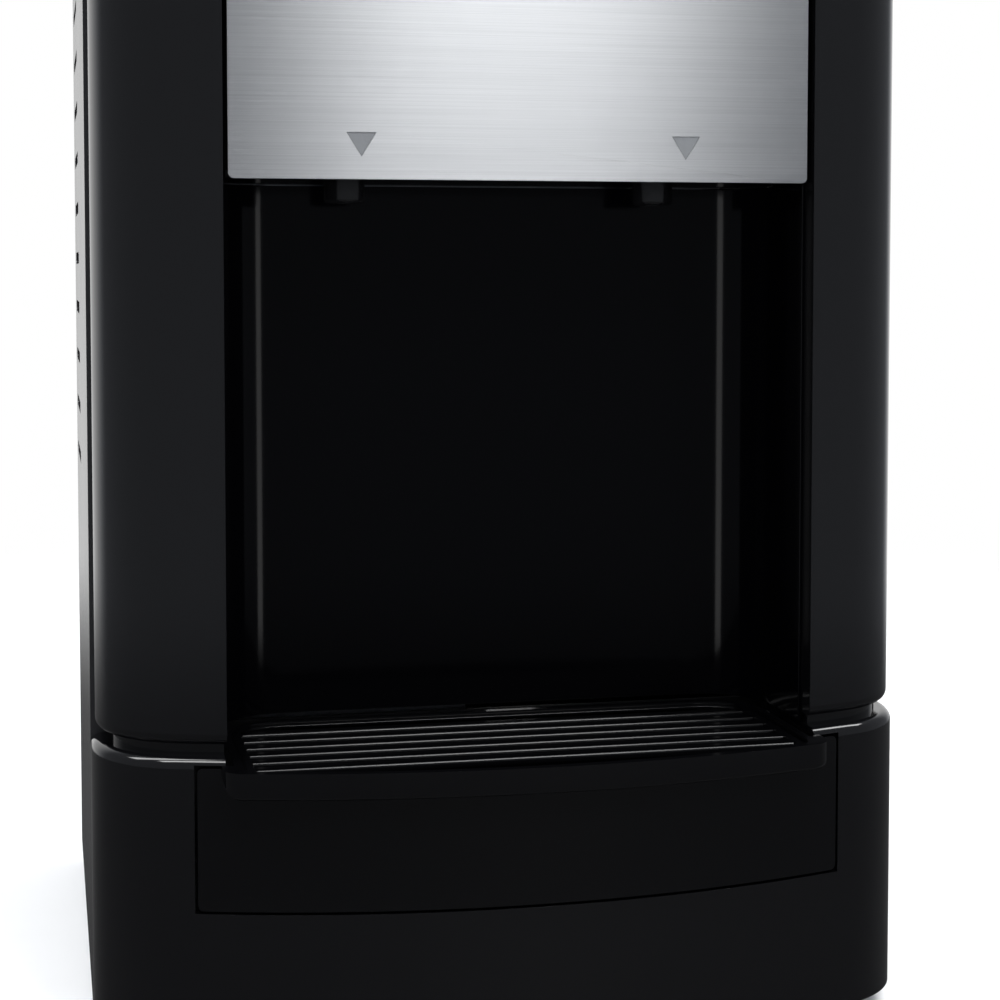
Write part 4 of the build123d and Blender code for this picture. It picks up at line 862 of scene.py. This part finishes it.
spring_steel = bare_metal("spring_steel", (0.35, 0.35, 0.36), (0.6, 0.6, 0.6), 0.25)
finishes = {
    "gloss_black": gloss_black,
    "alcove_black": alcove_black,
    "tray_black": tray_black,
    "stainless": steel,
    "zinc_steel": zinc,
    "case_paint": case_paint,
    "base_plastic": base_plastic,
    "marker_grey": painted("marker_grey", (0.13, 0.135, 0.14), 0.6),
    "foot_rubber": foot_rubber,
    "hot_red": hot_red,
    "cold_blue": cold_blue,
    "lock_red": lock_red,
    "lens_clear": lens_clear,
    "circuit_green": cellular("circuit_green", (0.004, 0.06, 0.02), (0.01, 0.16, 0.05), 160.0, 0.35),
    "tap_white": moulded("tap_white", (0.7, 0.7, 0.67), 0.3, texture=0.4),
    "spout_black": spout_black,
    "tank_steel": bare_metal("tank_steel", (0.45, 0.45, 0.46), (0.7, 0.7, 0.7), 0.22),
    "spring_steel": spring_steel,
    "seat_white": seat_white,
    "gasket_silicone": moulded("gasket_silicone", (0.62, 0.63, 0.62), 0.5, texture=0.5),
    "foam_white": cellular("foam_white", (0.5, 0.49, 0.46), (0.82, 0.81, 0.78), 420.0, 0.85),
    "jacket_grey": cellular("jacket_grey", (0.12, 0.12, 0.12), (0.32, 0.32, 0.31), 700.0, 0.9),
    "block_aluminium": bare_metal("block_aluminium", (0.55, 0.56, 0.57), (0.8, 0.8, 0.81), 0.25),
    "cooler_ceramic": painted("cooler_ceramic", (0.72, 0.72, 0.7), 0.45),
    "fan_black": moulded("fan_black", (0.012, 0.012, 0.012), 0.4, texture=0.8),
    "hose_silicone": moulded("hose_silicone", (0.6, 0.61, 0.6), 0.42, texture=0.3),
    "inlet_black": inlet_black,
    "contact_brass": bare_metal("contact_brass", (0.55, 0.4, 0.18), (0.8, 0.62, 0.3), 0.25),
    "supply_metal": bare_metal("supply_metal", (0.35, 0.35, 0.36), (0.6, 0.6, 0.61), 0.3),
}
for part in frame["record"]["subparts"]:
    piece = frame["nodes"][part["node"]]
    piece.data.materials.clear()
    piece.data.materials.append(finishes[part["material_slot"]])

# ---------------------------------------------------------------- tap springs
# A coil of drawn steel wire returns each tap's stem. It rests against the tap's barrel, and the
# stem's head presses it to half its length.

for side, name in ((-1, "hot"), (1, "cold")):
    coil = bpy.data.objects.new("coil", frame["nodes"][name + "_tap_spring"].data.copy())
    bpy.context.scene.collection.objects.link(coil)
    coil.data.shade_smooth()
    own(coil, name + "_valve_spring", "cabinet", spring_steel, "spring_steel", name + "_tap_spring")
    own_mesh(coil)

# ---------------------------------------------------------------- studio
# A pale floor that fades into a white room. In reflections the room is bright behind the object
# and dim in front of it, so that polished black stays black. Soft lamps hang above and in front.

floor_half = 3000
floor_corners = [(x * floor_half, y * floor_half, 0) for x, y in ((-1, -1), (1, -1), (1, 1), (-1, 1))]
floor = mesh_object("floor", floor_corners, [(0, 1, 2, 3)])
paint, tree, shader = new_material("floor_paint")
place = tree.nodes.new("ShaderNodeTexCoord").outputs["Object"]
length = tree.nodes.new("ShaderNodeVectorMath")
length.operation = "LENGTH"
tree.links.new(place, length.inputs[0])
fade = tree.nodes.new("ShaderNodeMapRange")
fade.interpolation_type = "SMOOTHSTEP"
fade.inputs["From Min"].default_value = 0.5
fade.inputs["From Max"].default_value = 1.3
fade.inputs["To Min"].default_value = 1.0
fade.inputs["To Max"].default_value = 0.0
tree.links.new(length.outputs["Value"], fade.inputs["Value"])
tree.links.new(fade.outputs["Result"], shader.inputs["Alpha"])
patch = noise(tree, place, 30.0)
pale = mix_colours(tree, patch, (0.86, 0.86, 0.86), (0.88, 0.88, 0.88))
# Reflections see the floor painted nearly black, a painted dark reflection that keeps polished black dark
# where it faces the floor; all other rays see it pale.
dim = tree.nodes.new("ShaderNodeMix")
dim.data_type = "RGBA"
dim.inputs[7].default_value = (0.014, 0.014, 0.014, 1)
tree.links.new(tree.nodes.new("ShaderNodeLightPath").outputs["Is Glossy Ray"], dim.inputs[0])
tree.links.new(pale, dim.inputs[6])
tree.links.new(dim.outputs[2], shader.inputs["Base Color"])
shader.inputs["Roughness"].default_value = 0.6
floor.data.materials.append(paint)

world = bpy.data.worlds.new("studio")
bpy.context.scene.world = world
world.use_nodes = True
sky = world.node_tree
split = sky.nodes.new("ShaderNodeSeparateXYZ")
sky.links.new(sky.nodes.new("ShaderNodeTexCoord").outputs["Generated"], split.inputs["Vector"])
# Reflections see the ramp, the camera sees plain white, and all other light is a little weaker.
ramp = sky.nodes.new("ShaderNodeMapRange")
ramp.interpolation_type = "SMOOTHSTEP"
ramp.inputs["From Min"].default_value = 0.5
ramp.inputs["From Max"].default_value = 0.88
ramp.inputs["To Min"].default_value = 0.24
ramp.inputs["To Max"].default_value = 1.0
sky.links.new(split.outputs["Y"], ramp.inputs["Value"])
seen = sky.nodes.new("ShaderNodeLightPath")
pick = sky.nodes.new("ShaderNodeMix")
pick.data_type = "FLOAT"
pick.inputs[2].default_value = 0.85
sky.links.new(seen.outputs["Is Glossy Ray"], pick.inputs[0])
sky.links.new(ramp.outputs["Result"], pick.inputs[3])
direct = sky.nodes.new("ShaderNodeMix")
direct.data_type = "FLOAT"
direct.inputs[3].default_value = 1.0
sky.links.new(seen.outputs["Is Camera Ray"], direct.inputs[0])
sky.links.new(pick.outputs[0], direct.inputs[2])
sky.links.new(direct.outputs[0], sky.nodes["Background"].inputs["Strength"])
cool = mix_colours(sky, ramp.outputs["Result"], (0.9, 0.96, 1.06), (1, 1, 1))
sky.links.new(cool, sky.nodes["Background"].inputs["Color"])


def soft_box(name, place, target, width, height, power):
    """A rectangular studio lamp that looks at a point, in metres."""
    lamp = bpy.data.lights.new(name, "AREA")
    lamp.shape = "RECTANGLE"
    lamp.size = width
    lamp.size_y = height
    lamp.energy = power
    holder = bpy.data.objects.new(name, lamp)
    holder.location = place
    holder.rotation_mode = "QUATERNION"
    holder.rotation_quaternion = (Vector(target) - Vector(place)).to_track_quat("-Z", "Y")
    bpy.context.scene.collection.objects.link(holder)
    return holder


soft_box("key", (0.365, -1.45, 1.4), (0, -0.13, 0.35), 0.44, 0.5, 8.9)
overhead = [soft_box("top", (0.0, -0.6, 1.7), (0, -0.1, 0.2), 2.4, 0.36, 30)]
overhead.append(soft_box("left", (-1.0, 0.1, 1.7), (-0.1, 0, 0.2), 0.4, 1.2, 13))
overhead.append(soft_box("right", (1.0, 0.1, 1.7), (0.1, 0, 0.2), 0.4, 1.2, 13))

# The white funnel and the steel are flagged from the overhead lamps, which suit polished black.
flagged = bpy.data.collections.new("flagged")
for piece in (funnel, probe, sheet_steel):
    flagged.objects.link(piece)
for listed in flagged.collection_objects:
    listed.light_linking.link_state = "EXCLUDE"
for lamp in overhead:
    lamp.light_linking.receiver_collection = flagged

# Two narrow upright strips, flagged so that only the alcove's wall catches them in its corners.
alcove_only = bpy.data.collections.new("alcove_only")
alcove_only.objects.link(liner)
for x, aim_x in ((-0.255, 0.09), (0.36, -0.09)):
    strip = soft_box("strip", (x, -0.56, 0.18), (aim_x, -0.07, 0.18), 0.1, 0.32, 0.28)
    strip.light_linking.receiver_collection = alcove_only

# ---------------------------------------------------------------- camera
# A long lens stands left of the middle, a little above the alcove's centre, and is shifted down.
# Its place is in metres, and it looks a few degrees down and to the right.

lens = bpy.data.cameras.new("camera")
lens.lens = 74.41
lens.sensor_width = 36.0
lens.shift_y = -0.12
camera = bpy.data.objects.new("camera", lens)
camera.location = (-0.1666, front_apex * mm - 0.6925, 0.2828)
camera.rotation_euler = (radians(90 - 3.14), 0, radians(-12.43))
bpy.context.scene.collection.objects.link(camera)
bpy.context.scene.camera = camera
bpy.context.scene.view_settings.view_transform = "Standard"
